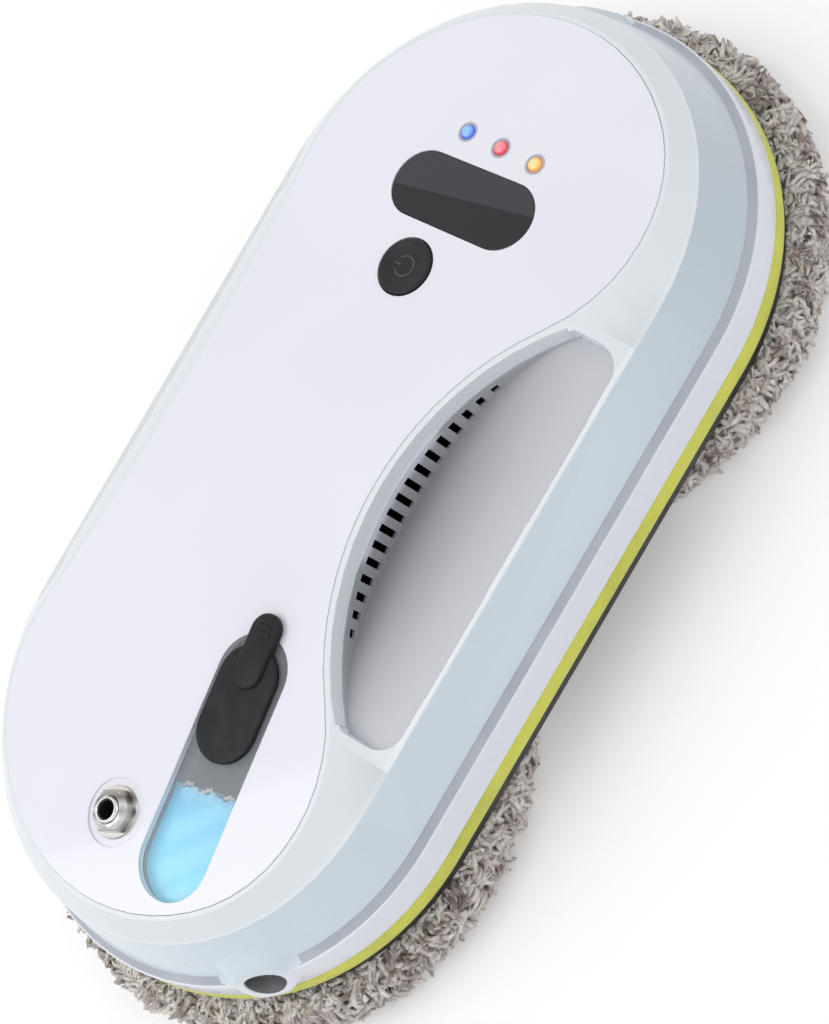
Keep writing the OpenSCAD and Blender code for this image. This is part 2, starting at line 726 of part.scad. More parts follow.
// Water tank under the top plate, with a clear lid and a rubber plug
tank_wall = 1.5;
tank_flange = 2.6;
tank_body_r = tank_window_r + tank_flange;
tank_h = 13.5;
tank_flange_t = 1.5;
tank_lid_z = panel_z - tank_flange_t;
tank_z = tank_lid_z - tank_h;
window_drop = 0.2;
plug_r = 9.4;
plug_t = 1.7;
plug_shift_a = 35.35;
plug_shift_b = 48.7;
plug_stem_r = 5;
plug_stem_h = 2.6;
fill_hole_r = 5.45;
tab_r = 4.6;
tab_t = 2.2;
tab_neck = 3.2;
tab_reach = 62;
anchor_r = 1.3;
anchor_inset = 2.4;
water_end_share = 0.36;
plug_a = tank_a + tank_dir * plug_shift_a;
plug_b = tank_a + tank_dir * plug_shift_b;
plug_mid = (plug_a + plug_b) / 2;
tab_at = tank_a + tank_dir * tab_reach;
anchor_at = plug_a - tank_dir * (plug_r - anchor_inset);
module water_tank() {
    color("gray") difference() {
        translate([0, 0, tank_z]) stadium(tank_a, tank_b, tank_body_r, tank_h);
        translate([0, 0, tank_z + tank_wall]) stadium(tank_a, tank_b, tank_body_r - tank_wall, tank_h);
    }
}
module tank_window() {
    color("lightgray", 0.6) difference() {
        union() {
            translate([0, 0, tank_lid_z]) stadium(tank_a, tank_b, tank_body_r, tank_flange_t);
            translate([0, 0, tank_lid_z]) stadium(tank_a, tank_b, tank_window_r,
                body_h - window_drop - tank_lid_z);
        }
        translate([plug_mid[0], plug_mid[1], tank_lid_z - cut])
            cylinder(r = fill_hole_r, h = body_h);
        translate([anchor_at[0], anchor_at[1], panel_z]) cylinder(r = anchor_r, h = body_h, $fn = 24);
    }
}
module tank_water() {
    color("deepskyblue", 0.7) translate([0, 0, tank_z + tank_wall]) intersection() {
        stadium(tank_a, tank_b, tank_body_r - tank_wall - fit_gap, tank_h - tank_wall);
        translate(tank_a) rotate([0, 0, tank_turn]) linear_extrude(tank_h) polygon(concat(
            [[-2 * tank_body_r, -tank_body_r]],
            [for (i = [0 : wave_steps]) let (f = i / wave_steps)
                [tank_window_l * water_end_share + wave_rise * (f - 0.5) + wave_h * sin(720 * f),
                 -tank_body_r + 2 * tank_body_r * f]],
            [[-2 * tank_body_r, tank_body_r]]));
    }
}
wave_steps = 24;
wave_h = 0.5;
wave_rise = -2.6;
module tank_plug() {
    z = body_h - window_drop;
    tab_z = body_h + fit_gap;
    color("darkslategray") union() {
        translate([0, 0, z]) stadium(plug_a, plug_b, plug_r, plug_t);
        translate([plug_mid[0], plug_mid[1], z - plug_stem_h])
            cylinder(r = plug_stem_r, h = plug_stem_h + fit_gap);
        translate([0, 0, tab_z]) stadium(plug_b, tab_at, tab_neck, z + plug_t - tab_z);
        translate([tab_at[0], tab_at[1], tab_z]) cylinder(r = tab_r, h = tab_t);
    }
}
module plug_anchor() {
    color("dimgray") translate([anchor_at[0], anchor_at[1], panel_z])
        cylinder(r = anchor_r, h = panel_t - window_drop - fit_gap, $fn = 24);
}

// Water pump, tubes and spray nozzles
pump_at = [-122, 22];
pump_r = 9;
pump_h = 15;
pump_neck_r = 5.4;
pump_neck_h = 4.5;
module water_pump() {
    color("whitesmoke") translate([pump_at[0], pump_at[1], base_top]) union() {
        cylinder(r = pump_r, h = pump_h);
        translate([0, 0, pump_h - fit_gap]) cylinder(r = pump_neck_r, h = pump_neck_h);
    }
}
nozzle_r = 3.1;
nozzle_bore_r = 1;
nozzle_l = 10.4;
nozzle_tip_r = 71.8;
module nozzle(s) {
    color("silver") nozzle_frame(s) rotate([0, 90, 0]) difference() {
        translate([0, 0, nozzle_tip_r - nozzle_l]) cylinder(r = nozzle_r, h = nozzle_l);
        translate([0, 0, nozzle_tip_r - nozzle_l - cut])
            cylinder(r = nozzle_bore_r, h = nozzle_l + 2 * cut, $fn = 32);
    }
}
hole_floor_r = 69.4;
module nozzle_cowl(s) {
    color("aliceblue") difference() {
        intersection() {
            cowl_arch(s, 0, body_r - cowl_in_r);
            translate([s * lobe_x, 0, 0]) rotate_extrude() polygon([
                [0, cowl_low], [body_r - cowl_inset, cowl_low], [rim_top_r + cowl_proud, trim_z],
                [cowl_top_r, cowl_z + cowl_w / 2], [0, cowl_z + cowl_w / 2]]);
        }
        nozzle_frame(s) rotate([0, 90, 0]) {
            cylinder(r = nozzle_r + run_gap, h = nozzle_tip_r);
            translate([0, 0, hole_floor_r]) cylinder(r = spray_hole_r, h = nozzle_l);
        }
    }
}

// Electronics above the right wheel
board_z = 48;
board_t = 1.6;
board_x = [42, 118];
board_y = [-26, 25];
board_leg_r = 2.5;
chip_h = 2.2;
chips = [[52, -20, 12, 12], [81, -25, 8, 7], [100, -22, 10, 7], [104, 12, 7, 9]];
module main_board() {
    color("darkgreen") union() {
        translate([board_x[0], board_y[0], board_z])
            cube([board_x[1] - board_x[0], board_y[1] - board_y[0], board_t]);
        for (c = chips) translate([c[0], c[1], board_z + board_t - run_gap]) cube([c[2], c[3], chip_h]);
        for (x = board_x, y = board_y)
            translate([x - sign(x - wheel_x) * board_leg_r, y - sign(y) * board_leg_r, base_top])
                cylinder(r = board_leg_r, h = board_z - base_top + run_gap);
    }
}
cell_r = 7.2;
cell_l = 50;
cell_y = [-37, -54];
cell_gap = 1;
module battery_pack() {
    color("royalblue") union() {
        for (s = sides, y = cell_y)
            translate([s * (cell_l + cell_gap) / 2, y, base_top + cell_r + duct_wall]) rotate([0, 90, 0])
                cylinder(r = cell_r, h = cell_l, center = true, $fn = 48);
        translate([-cell_l - cell_gap, cell_y[1] - cell_r, base_top])
            cube([2 * cell_l + 2 * cell_gap, cell_y[0] - cell_y[1] + 2 * cell_r, cell_r]);
    }
}
window_t = 1.6;
module ir_window() {
    color("black") translate([0, 0, body_h - window_t - window_drop])
        stadium(ir_at - ir_span, ir_at + ir_span, ir_r, window_t);
}
dome_r = 3.4;
module ir_receiver() {
    color("darkslategray") translate([ir_at[0], ir_at[1], board_z + board_t]) union() {
        translate([-dome_r, -dome_r, 0]) cube([2 * dome_r, 2 * dome_r, dome_r]);
        translate([0, 0, dome_r]) cylinder(r = dome_r,
            h = body_h - window_t - window_drop - board_z - board_t - dome_r - air_gap);
    }
}
module led(i) {
    p = led_place(i);
    color(["orange", "red", "blue"][i + 1]) translate([p[0], p[1], board_z + board_t])
        cylinder(r = led_r, h = body_h + window_drop - board_z - board_t);
}

// Power button on its switch and spring
switch_w = 7;
switch_h = 3.6;
plunger_r = 1.8;
plunger_h = 1.2;
button_t = 3.4;
button_proud = 0.6;
button_flange = 1.4;
module power_button() {
    top = body_h + button_proud;
    color("black") translate(button_at) union() {
        translate([0, 0, top - button_t - button_proud])
            cylinder(r = button_r, h = button_t + button_proud);
        translate([0, 0, panel_z - air_gap - button_flange])
            cylinder(r = button_r + button_flange, h = button_flange);
        translate([0, 0, board_z + board_t + switch_h + plunger_h + button_travel + air_gap])
            cylinder(r = plunger_r,
                h = top - button_t - board_z - board_t - switch_h - plunger_h - button_travel);
    }
}
module button_switch() {
    color("dimgray") translate([button_at[0], button_at[1], board_z + board_t]) union() {
        translate([-switch_w / 2, -switch_w / 2, 0]) cube([switch_w, switch_w, switch_h]);
        cylinder(r = plunger_r, h = switch_h + plunger_h);
    }
}

// Power inlet: threaded barrel through the plate with a hexagon nut
jack_flange_r = 7;
jack_flange_t = 2.2;
jack_body_z = 47;
jack_free = 6;
nut_t = 2.6;
nut_cone_h = 1;
module jack_body() {
    top = body_h + jack_rise;
    color("silver") translate(jack_at) difference() {
        union() {
            translate([0, 0, jack_body_z]) cylinder(r = jack_neck_r, h = body_h - jack_body_z);
            translate([0, 0, panel_z - jack_flange_t]) cylinder(r = jack_flange_r, h = jack_flange_t);
            translate([0, 0, jack_body_z]) cylinder(r = jack_barrel_r, h = top - jack_body_z);
        }
        translate([0, 0, top - jack_free]) cylinder(r = jack_bore_r, h = body_h);
        translate([0, 0, top - jack_free - jack_pin_l]) cylinder(r = jack_throat_r, h = body_h);
    }
}
jack_pin_l = 6;
jack_throat_r = 2.55;
jack_pin_r = 0.9;
module jack_pin() {
    z = body_h + jack_rise - jack_free - jack_pin_l;
    color("gold") translate(jack_at) translate([0, 0, z]) 
        cylinder(r = jack_pin_r, h = jack_pin_l - air_gap, $fn = 32);
}
module jack_nut() {
    color("silver") translate(jack_at) difference() {
        union() {
            translate([0, 0, body_h - jack_dish]) cylinder(r = nut_r, h = nut_t, $fn = 6);
            translate([0, 0, body_h - jack_dish + nut_t])
                cylinder(r1 = nut_r * cos(30), r2 = jack_barrel_r + nut_cone_h / 2,
                    h = nut_cone_h, $fn = 64);
        }
        translate([0, 0, body_h - jack_dish - cut])
            cylinder(r = jack_neck_r + run_gap, h = jack_dish + cut + run_gap);
        translate([0, 0, body_h - jack_dish - cut]) cylinder(r = jack_barrel_r + run_gap, h = body_h);
    }
}

// Water tubes from the pump to the nozzles, laid along points chosen by hand
tube_r = 2;
tube_z = 38;
tube_lift = 3;
tube_side = 2.6;
pump_top_z = base_top + pump_h - fit_gap + pump_neck_h;
tube_left_way = [[-123, -20]];
tube_right_way = [[-105, 53], [-70, 63], [70, 63], [105, 53], [127, 25]];
function nozzle_point(s, r) = let (a = nozzle_turns[s < 0 ? 0 : 1])
    [s * lobe_x + r * cos(a), r * sin(a), cowl_z];
tube_sides = 8;
tube_side_dir = [0, -0.6, 1];
function unit(v) = v / norm(v);
module tube(points) {
    m = len(points) - 1;
    skin([for (i = [0 : m])
        let (ahead = unit(points[i < m ? i + 1 : m] - points[i < m ? i : m - 1]),
             behind = unit(points[i > 0 ? i : 1] - points[i > 0 ? i - 1 : 0]),
             t = unit(ahead + behind),
             u = unit(cross(t, tube_side_dir)), v = cross(t, u))
        [for (k = [0 : tube_sides - 1]) let (a = -360 * k / tube_sides)
            points[i] + tube_r * (u * cos(a) + v * sin(a))]]);
}
module water_tube(s) {
    way = s < 0 ? tube_left_way : tube_right_way;
    start = [pump_at[0], pump_at[1] + s * tube_side];
    color("white", 0.7) tube(concat(
        [[start[0], start[1], pump_top_z], [start[0], start[1], pump_top_z + tube_lift]],
        [for (p = way) [p[0], p[1], tube_z]],
        [nozzle_point(s, nozzle_tip_r - nozzle_l - 3 * tube_r),
         nozzle_point(s, nozzle_tip_r - nozzle_l)]));
}

top_panel();
upper_housing();
grip_tub();
groove_trim();
lower_housing();
edge_gasket();
base_plate();
wheel_disc(-1);  // wheel_disc_left
wheel_disc(1);  // wheel_disc_right
hook_ring(-1);  // hook_ring_left
hook_ring(1);  // hook_ring_right
pad(-1);  // pad_left
pad(1);  // pad_right
hub_gear(-1);  // hub_gear_left
hub_gear(1);  // hub_gear_right
hub_bush(-1);  // hub_bush_left
hub_bush(1);  // hub_bush_right
drive_motor(-1);  // drive_motor_left
drive_motor(1);  // drive_motor_right
pinion(-1);  // pinion_left
pinion(1);  // pinion_right
suction_duct();
fan_housing();
impeller();
fan_shaft();
fan_motor();
water_tank();
tank_window();
tank_water();
tank_plug();
plug_anchor();
water_pump();
water_tube(-1);  // water_tube_left
water_tube(1);  // water_tube_right
nozzle(-1);  // nozzle_left
nozzle(1);  // nozzle_right
nozzle_cowl(-1);  // nozzle_cowl_left
nozzle_cowl(1);  // nozzle_cowl_right
main_board();
battery_pack();
ir_window();
ir_receiver();
led(1);  // led_blue
led(0);  // led_red
led(-1);  // led_amber
power_button();
button_switch();
jack_body();
jack_nut();
jack_pin();
base_screws();
motor_screws();
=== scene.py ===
"""Window cleaning robot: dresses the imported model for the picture."""
import math
import random

import bmesh
import bpy
import numpy as np
from mathutils import Matrix, Vector


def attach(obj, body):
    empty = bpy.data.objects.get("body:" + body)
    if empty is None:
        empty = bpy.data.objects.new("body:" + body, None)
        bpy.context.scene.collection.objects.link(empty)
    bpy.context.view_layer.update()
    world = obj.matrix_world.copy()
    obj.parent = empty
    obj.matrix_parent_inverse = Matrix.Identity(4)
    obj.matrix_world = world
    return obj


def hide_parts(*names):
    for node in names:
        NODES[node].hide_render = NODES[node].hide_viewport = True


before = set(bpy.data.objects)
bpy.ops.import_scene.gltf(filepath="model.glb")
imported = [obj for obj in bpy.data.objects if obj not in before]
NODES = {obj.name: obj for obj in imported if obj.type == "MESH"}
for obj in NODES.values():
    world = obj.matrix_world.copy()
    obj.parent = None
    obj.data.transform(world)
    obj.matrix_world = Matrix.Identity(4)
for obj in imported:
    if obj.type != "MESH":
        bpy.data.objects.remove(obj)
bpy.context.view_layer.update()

bl_info = {
    "name": "Window cleaning robot",
    "version": (1, 0, 0),
    "blender": (4, 5, 0),
    "location": "3D Viewport > Sidebar > Window robot",
    "description": "Dresses the packed window cleaning robot and sets its stage",
    "category": "Object",
}

MM = 0.001
SIDES = {"left": -1, "right": 1}

# Sizes of the solids in millimetres, as the part's source has them
LOBE_X = 72.0
BODY_R = 76.0
BODY_H = 61.6
WHEEL_X = 78.0
GASKET_Z = 22.0
RIM_Z = 27.6
TRIM_Z = 37.0
HOUSE_Z = 38.6
SKIRT_Z = 56.3
RIM_TOP_R = 74.8
HOUSE_R = 72.2
SKIRT_R = 65.7
WALL = ((RIM_Z, BODY_R), (TRIM_Z, RIM_TOP_R), (HOUSE_Z, HOUSE_R), (SKIRT_Z, SKIRT_R))
NOZZLE_TURN = {"left": 225.0, "right": 9.0}
TANK_TURN = 9.3
TANK_MID = (-83.35, -22.65)
TANK_END = -25.1
PLUG_SPAN = (35.35, 48.7)
GRIP_HALF = 57.4
GRIP_Y = -64.3
GRIP_DEEP = 11.6
GRIP_R = 76.9
GRIP_MID_Y = -101.4
SCOOP_RUN = 39.8
SLOT_STEP = 4.55
BUTTON_AT = (53.8, 5.9)
LED_AT = {"led_amber": (92.1, -14.4), "led_red": (92.9, -1.9), "led_blue": (93.7, 10.6)}
JACK_AT = (-108.4, -2.9)

# Sizes of the dressed forms in millimetres
MOUTH_Z = 35.6
MOUTH = (6.2, 4.6)
BAND_BACK = 69.2
GASKET_BACK = 72.95
BUTTON_TOP = BODY_H + 0.6
INLET_TOP = BODY_H + 4.3
NUT_BASE = BODY_H - 0.5
NUT_BORE = 3.45
PILE_FOOT = 0.35
PILE_ROOF = 17.4
PAD_BORE = 26.0
FELT_BORE = 26.8
DISC_R = 70.5
DISC_Z = 12.0
OVAL_SIZES = {"Half length": LOBE_X * MM, "Radius": BODY_R * MM, "Steps": 258}


# Making nodes from plain expressions

def feed(tree, slot, value):
    """Links a value to a socket, or writes a plain number or colour there."""
    if isinstance(value, Val):
        value = value.socket
    if isinstance(value, bpy.types.NodeSocket):
        tree.links.new(value, slot)
    elif hasattr(slot.default_value, "__len__") and not hasattr(value, "__len__"):
        slot.default_value = [value] * len(slot.default_value)
    elif hasattr(value, "__len__") and len(slot.default_value) == 4 and len(value) == 3:
        slot.default_value = (*value, 1.0)
    else:
        slot.default_value = value


def add_node(tree, kind, settings=None, inputs=None, out=0):
    """Makes a node, feeds its inputs and gives one of its outputs."""
    node = tree.nodes.new(kind)
    for key, value in (settings or {}).items():
        setattr(node, key, value)
    for key, value in (inputs or {}).items():
        feed(tree, node.inputs[key], value)
    return node.outputs[out]


class Val:
    """A shader socket whose arithmetic adds Math nodes."""

    def __init__(self, tree, socket):
        self.tree = tree
        self.socket = socket

    def maths(self, operation, *others):
        given = dict(enumerate((self, *others)))
        return Val(self.tree, add_node(self.tree, "ShaderNodeMath", {"operation": operation}, given))

    def __add__(self, other):
        return self.maths("ADD", other)

    def __sub__(self, other):
        return self.maths("SUBTRACT", other)

    def __mul__(self, other):
        return self.maths("MULTIPLY", other)

    def __truediv__(self, other):
        return self.maths("DIVIDE", other)

    def __pow__(self, other):
        return self.maths("POWER", other)

    def sine(self):
        return self.maths("SINE")


class Finish:
    """A material that is put together one node at a time."""

    def __init__(self, name):
        self.material = bpy.data.materials.new(name)
        self.material.use_nodes = True
        self.tree = self.material.node_tree
        self.surface = self.tree.nodes["Principled BSDF"]
        self.output = self.tree.nodes["Material Output"]
        self.coords = self.tree.nodes.new("ShaderNodeTexCoord")

    def add(self, *node, out=0):
        return Val(self.tree, add_node(self.tree, *node, out=out))

    def place(self, turn=0.0, scale=(1.0, 1.0, 1.0), shift=(0.0, 0.0, 0.0)):
        """Object coordinates, shifted, turned about Z in degrees and stretched."""
        moved = self.add("ShaderNodeVectorMath", {"operation": "ADD"},
                         {0: self.coords.outputs["Object"], 1: shift})
        return self.add("ShaderNodeMapping", {"vector_type": "POINT"},
                        {"Vector": moved, "Rotation": (0.0, 0.0, math.radians(turn)), "Scale": scale})

    def noise(self, scale, detail=3.0, rough=0.55, at=None):
        return self.add("ShaderNodeTexNoise", {"noise_dimensions": "3D"},
                        {"Vector": at or self.place(), "Scale": scale, "Detail": detail, "Roughness": rough})

    def axis(self, which, at=None):
        return self.add("ShaderNodeSeparateXYZ", {}, {0: at or self.place()}, out=which)

    def apart(self, centre):
        """Squared distance from an upright line through centre, in square metres."""
        across = self.axis(0) - centre[0] * MM
        along = self.axis(1) - centre[1] * MM
        return across * across + along * along

    def step(self, value, low, high, start=0.0, end=1.0):
        """A smooth rise from start to end while value goes from low to high."""
        return self.add("ShaderNodeMapRange", {"interpolation_type": "SMOOTHSTEP"},
                        {"Value": value, "From Min": low, "From Max": high, "To Min": start, "To Max": end})

    def mix(self, factor, one, two):
        return self.add("ShaderNodeMix", {"data_type": "RGBA"}, {0: factor, 6: one, 7: two}, out=2)

    def ramp(self, value, stops):
        shades = self.add("ShaderNodeValToRGB", {}, {"Fac": value})
        elements = shades.socket.node.color_ramp.elements
        while len(elements) < len(stops):
            elements.new(0.5)
        for element, (at, colour) in zip(elements, stops):
            element.position = at
            element.color = (*colour, 1.0)
        return shades

    def bump(self, height, strength, distance=0.0001):
        return self.add("ShaderNodeBump", {}, {"Height": height, "Strength": strength, "Distance": distance})

    def grain(self, scale, strength, detail=3.0, distance=0.0001):
        return self.bump(self.noise(scale, detail), strength, distance)

    def set(self, **sockets):
        for key, value in sockets.items():
            feed(self.tree, self.surface.inputs[key.replace("_", " ")], value)

    def shine(self, low, high, scale=260.0):
        """Roughness that wanders a little between two values, as on a handled surface."""
        self.set(Roughness=self.step(self.noise(scale), 0.35, 0.65, low, high))
        return self


FINISHES = {}


def finish_named(name):
    """Makes a finish the first time that it is asked for."""
    if name not in FINISHES:
        maker, *given = RECIPES[name]
        FINISHES[name] = maker(*given).material
    return FINISHES[name]


# Making meshes

def link_mesh(name, points, faces):
    mesh = bpy.data.meshes.new(name)
    mesh.from_pydata([tuple(c * MM for c in p) for p in points], [], faces)
    mesh.update()
    piece = bpy.data.objects.new(name, mesh)
    bpy.context.scene.collection.objects.link(piece)
    return piece


def clean(piece, merge, flat=None):
    """Merges doubled points, then joins faces up to a flat angle or turns all faces outwards."""
    work = bmesh.new()
    work.from_mesh(piece.data)
    bmesh.ops.remove_doubles(work, verts=work.verts, dist=merge)
    bmesh.ops.dissolve_degenerate(work, edges=work.edges, dist=merge)
    if flat:
        bmesh.ops.dissolve_limit(work, angle_limit=math.radians(flat), verts=work.verts, edges=work.edges)
    else:
        bmesh.ops.recalc_face_normals(work, faces=work.faces)
    work.to_mesh(piece.data)
    work.free()


def settle(piece, merge=1e-6, angle=32.0):
    """Merges doubles, turns faces outwards and shades smooth up to an edge angle."""
    clean(piece, merge)
    shade(piece, angle)
    return piece


def shade(piece, angle):
    piece.data.shade_smooth()
    piece.data.set_sharp_from_angle(angle=math.radians(angle))
    piece.data.update()


def bake_modifiers(piece):
    """Replaces a piece's mesh with what its modifiers give, and removes them."""
    bpy.context.view_layer.update()
    graph = bpy.context.evaluated_depsgraph_get()
    made = bpy.data.meshes.new_from_object(
        piece.evaluated_get(graph), preserve_all_data_layers=True, depsgraph=graph)
    piece.modifiers.clear()
    old = piece.data
    piece.data = made
    made.name = piece.name
    bpy.data.meshes.remove(old)
    return piece


def round_edges(piece, width):
    """Rounds the hard edges of a piece by width millimetres."""
    bevel = piece.modifiers.new("edges", "BEVEL")
    bevel.width = width * MM
    bevel.segments = 2
    bevel.limit_method = "ANGLE"
    bevel.angle_limit = math.radians(40.0)
    bevel.harden_normals = True
    bevel.miter_outer = "MITER_ARC"
    bake_modifiers(piece)


def own(piece, finish, *nodes, slot=None, body="chassis"):
    """Gives a piece its finish and its body, and hides the nodes that it stands for; the slot is not used."""
    piece.data.materials.clear()
    piece.data.materials.append(finish_named(finish))
    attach(piece, body)
    if nodes:
        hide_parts(*nodes)
    return piece


def smooth_copy(node, name, angle, rounding=0.0):
    """A copy of a solid's mesh with merged points, smooth shading and rounded edges."""
    piece = bpy.data.objects.new(name, NODES[node].data.copy())
    bpy.context.scene.collection.objects.link(piece)
    clean(piece, 2e-5, 0.6)
    piece.data.materials.clear()
    shade(piece, angle)
    if rounding:
        round_edges(piece, rounding)
        shade(piece, angle)
        weigh = piece.modifiers.new("normals", "WEIGHTED_NORMAL")
        weigh.keep_sharp = True
        bake_modifiers(piece)
    return piece


def lathe(name, profile, centre, steps, base=0.0):
    """A turned piece from radii and heights over base, closed on the axis where the profile meets it."""
    points, faces, rings = [], [], []
    for r, z in profile:
        count = 1 if r < 1e-6 else steps
        rings.append(range(len(points), len(points) + count))
        for i in range(count):
            a = 2 * math.pi * i / steps
            points.append((centre[0] + r * math.cos(a), centre[1] + r * math.sin(a), base + z))
    pairs = list(zip(rings, rings[1:]))
    if len(rings[0]) > 1 and len(rings[-1]) > 1:
        pairs.append((rings[-1], rings[0]))
    for low, high in pairs:
        for i in range(steps):
            j = (i + 1) % steps
            if len(low) == 1:
                faces.append((low[0], high[j], high[i]))
            elif len(high) == 1:
                faces.append((low[i], low[j], high[0]))
            else:
                faces.append((low[i], low[j], high[j], high[i]))
    return settle(link_mesh(name, points, faces))


def ring_faces(count, rings, start=0, closed=False):
    """Faces through rings of count points, joined end to end or with a cap on both ends."""
    faces = []
    for k in range(rings if closed else rings - 1):
        one = start + k * count
        two = start + (k + 1) % rings * count
        for i in range(count):
            j = (i + 1) % count
            faces.append((one + i, one + j, two + j, two + i))
    if not closed:
        faces.append(tuple(range(start, start + count))[::-1])
        faces.append(tuple(range(two, two + count)))
    return faces


def loft(name, rings, closed=False, angle=40.0):
    """A piece through rings that have the same number of points."""
    points = [p for ring in rings for p in ring]
    return settle(link_mesh(name, points, ring_faces(len(rings[0]), len(rings), 0, closed)), 1e-6, angle)


def slab(name, top, low, rows, merge, angle):
    """A closed sheet between two grids of points with rows steps in each column."""
    n, k = rows + 1, len(top)
    cols = k // n - 1
    faces = []
    for i in range(cols):
        for j in range(rows):
            a = i * n + j
            faces.append((a, a + n, a + n + 1, a + 1))
            faces.append((k + a, k + a + 1, k + a + n + 1, k + a + n))
    rim = (list(range(rows)) + [i * n + rows for i in range(cols)]
           + [cols * n + j for j in range(rows, 0, -1)] + [i * n for i in range(cols, 0, -1)])
    for a, b in zip(rim, rim[1:] + rim[:1]):
        faces.append((a, b, b + k, a + k))
    return settle(link_mesh(name, top + low, faces), merge, angle)


def tree_piece(name, tree, inputs, mesh):
    """Runs a geometry tree on a mesh and keeps its result as a plain mesh."""
    piece = bpy.data.objects.new(name, mesh)
    bpy.context.scene.collection.objects.link(piece)
    modifier = piece.modifiers.new("form", "NODES")
    modifier.node_group = tree
    names = {item.name: item.identifier for item in tree.interface.items_tree
             if item.item_type == "SOCKET" and item.in_out == "INPUT"}
    for key, value in inputs.items():
        modifier[names[key]] = value
    return bake_modifiers(piece)


class Tree:
    """A geometry tree with named inputs for its sizes."""

    def __init__(self, name, sizes):
        self.tree = bpy.data.node_groups.new(name, "GeometryNodeTree")
        sockets = self.tree.interface
        for way in ("INPUT", "OUTPUT"):
            sockets.new_socket("Geometry", in_out=way, socket_type="NodeSocketGeometry")
        for key, size in sizes.items():
            kind = "NodeSocketInt" if isinstance(size, int) else "NodeSocketFloat"
            sockets.new_socket(key, in_out="INPUT", socket_type=kind).default_value = size
        self.start = self.tree.nodes.new("NodeGroupInput")
        self.end = self.tree.nodes.new("NodeGroupOutput")

    def given(self, name):
        return self.start.outputs[name]

    def add(self, *node, out=0):
        return add_node(self.tree, *node, out=out)

    def maths(self, operation, *values, kind="ShaderNodeMath"):
        return self.add(kind, {"operation": operation}, dict(enumerate(values)))

    def random(self, low, high, seed):
        return self.add("FunctionNodeRandomValue", {"data_type": "FLOAT"},
                        {2: low, 3: high, "Seed": seed}, out=1)

    def finish(self, geometry, material):
        plain = self.add("GeometryNodeRealizeInstances", {}, {"Geometry": geometry})
        dressed = self.add("GeometryNodeSetMaterial", {}, {"Geometry": plain, "Material": material})
        self.tree.links.new(dressed, self.end.inputs[0])
        return self.tree


# Finishes, one for each real surface

def shaded(colour, level):
    return tuple(c * level for c in colour)


def plain(name, scale, one, two, rough, grain=None, sockets=None):
    """A surface of two near tones, with a fine grain where it has one."""
    f = Finish(name)
    f.set(Base_Color=f.mix(f.noise(scale), one, two), **(sockets or {}))
    if grain:
        f.set(Normal=f.grain(*grain))
    return f.shine(*rough)


def lined_metal(name, scale, stretch, one, two, depth, *rough):
    """Metal with the fine lines of its turning or brushing."""
    f = Finish(name)
    lines = f.noise(scale, 3.0, 0.6, f.place(scale=(1.0, 1.0, stretch)))
    f.set(Base_Color=f.mix(f.step(lines, 0.3, 0.7), one, two), Metallic=1.0, Normal=f.bump(lines, depth))
    return f.shine(*rough)


def lens(name, centre, deep, bright):
    """A coloured status lens, pale where its lamp sits behind it."""
    f = Finish(name)
    colour = f.mix(f.step(f.apart(centre) * 1.0e6, 0.2, 4.6), bright, deep)
    f.set(Base_Color=colour, Emission_Color=colour, Emission_Strength=0.35, Coat_Weight=0.9,
          Coat_Roughness=0.03)
    return f.shine(0.08, 0.12)


def plate_white():
    f = Finish("glossy white plate")
    colour = look().plate_colour
    # Painted shade: soft noise clouds up to 3.5% darker, in place of the plate's soft reflections.
    f.set(Base_Color=f.mix(f.step(f.noise(11.0, 2.0), 0.35, 0.65), colour, shaded(colour, 0.965)),
          Coat_Weight=0.5, Coat_Roughness=0.03, Specular_IOR_Level=0.5, Normal=f.grain(1100.0, 0.05, 2.0))
    return f.shine(0.11, 0.19, 90.0)


def housing_white():
    """Pale blue-grey walls, with the flank above the wall a little greener, painted shade on the wall round
    the right lobe and a painted highlight line along the wall's top edge.
    """
    f = Finish("satin pale housing")
    tones = look()
    height = f.axis(2)
    # Painted shade: the wall darkens by a fifth towards the right lobe.
    wall = f.mix(f.step(f.axis(0), 0.02, 0.12), tones.wall_colour, shaded(tones.wall_colour, 0.80))
    wall = f.mix(f.step(height, 0.0370, 0.0380), tones.rim_colour, wall)
    colour = f.mix(f.step(height, 0.0560, 0.0568), wall, tones.flank_colour)
    # Painted highlight: a thin pale line along the wall's top edge, under the flank.
    edge = f.step(height, 0.0559, 0.0562) * f.step(height, 0.0565, 0.0568, 1.0, 0.0)
    colour = f.mix(edge * 0.7, colour, (0.90, 0.93, 0.96))
    dusty = f.step(f.noise(14.0), 0.3, 0.7) * 0.08
    f.set(Base_Color=f.mix(dusty, colour, shaded(tones.wall_colour, 0.9)),
          Coat_Weight=0.25, Coat_Roughness=0.12, Normal=f.grain(1500.0, 0.06, 2.0))
    return f.shine(0.24, 0.34, 120.0)


def tub_grey():
    """Recess floor in painted shade: mid grey at the foot of the wall and paling towards the outer bar, with
    painted light towards the right end and the top of the curved wall pale.
    """
    f = Finish("matte recess floor")
    # Painted shade: the floor darkens from the outer bar to the foot of the wall.
    across = f.step(f.axis(1), -0.062, -0.030)
    along = f.step(f.axis(0), -0.055, 0.050)
    floor = f.mix(across, (0.60, 0.61, 0.65), (0.34, 0.35, 0.38))
    # Painted light: the floor pales towards the right end of the recess.
    floor = f.mix(along * 0.35, floor, (0.56, 0.57, 0.61))
    wall = f.step(f.axis(2), 0.0525, 0.0555)
    near = f.step(f.axis(1), -0.0275, -0.0262)
    f.set(Base_Color=f.mix(wall * near, floor, (0.72, 0.74, 0.82)), Normal=f.grain(2200.0, 0.12, 2.0))
    return f.shine(0.42, 0.52)


def trim_grey():
    f = Finish("grey groove")
    f.set(Base_Color=f.mix(f.step(f.noise(60.0), 0.3, 0.7), (0.50, 0.53, 0.59), (0.44, 0.47, 0.53)),
          Normal=f.grain(1800.0, 0.1))
    return f.shine(0.45, 0.6)


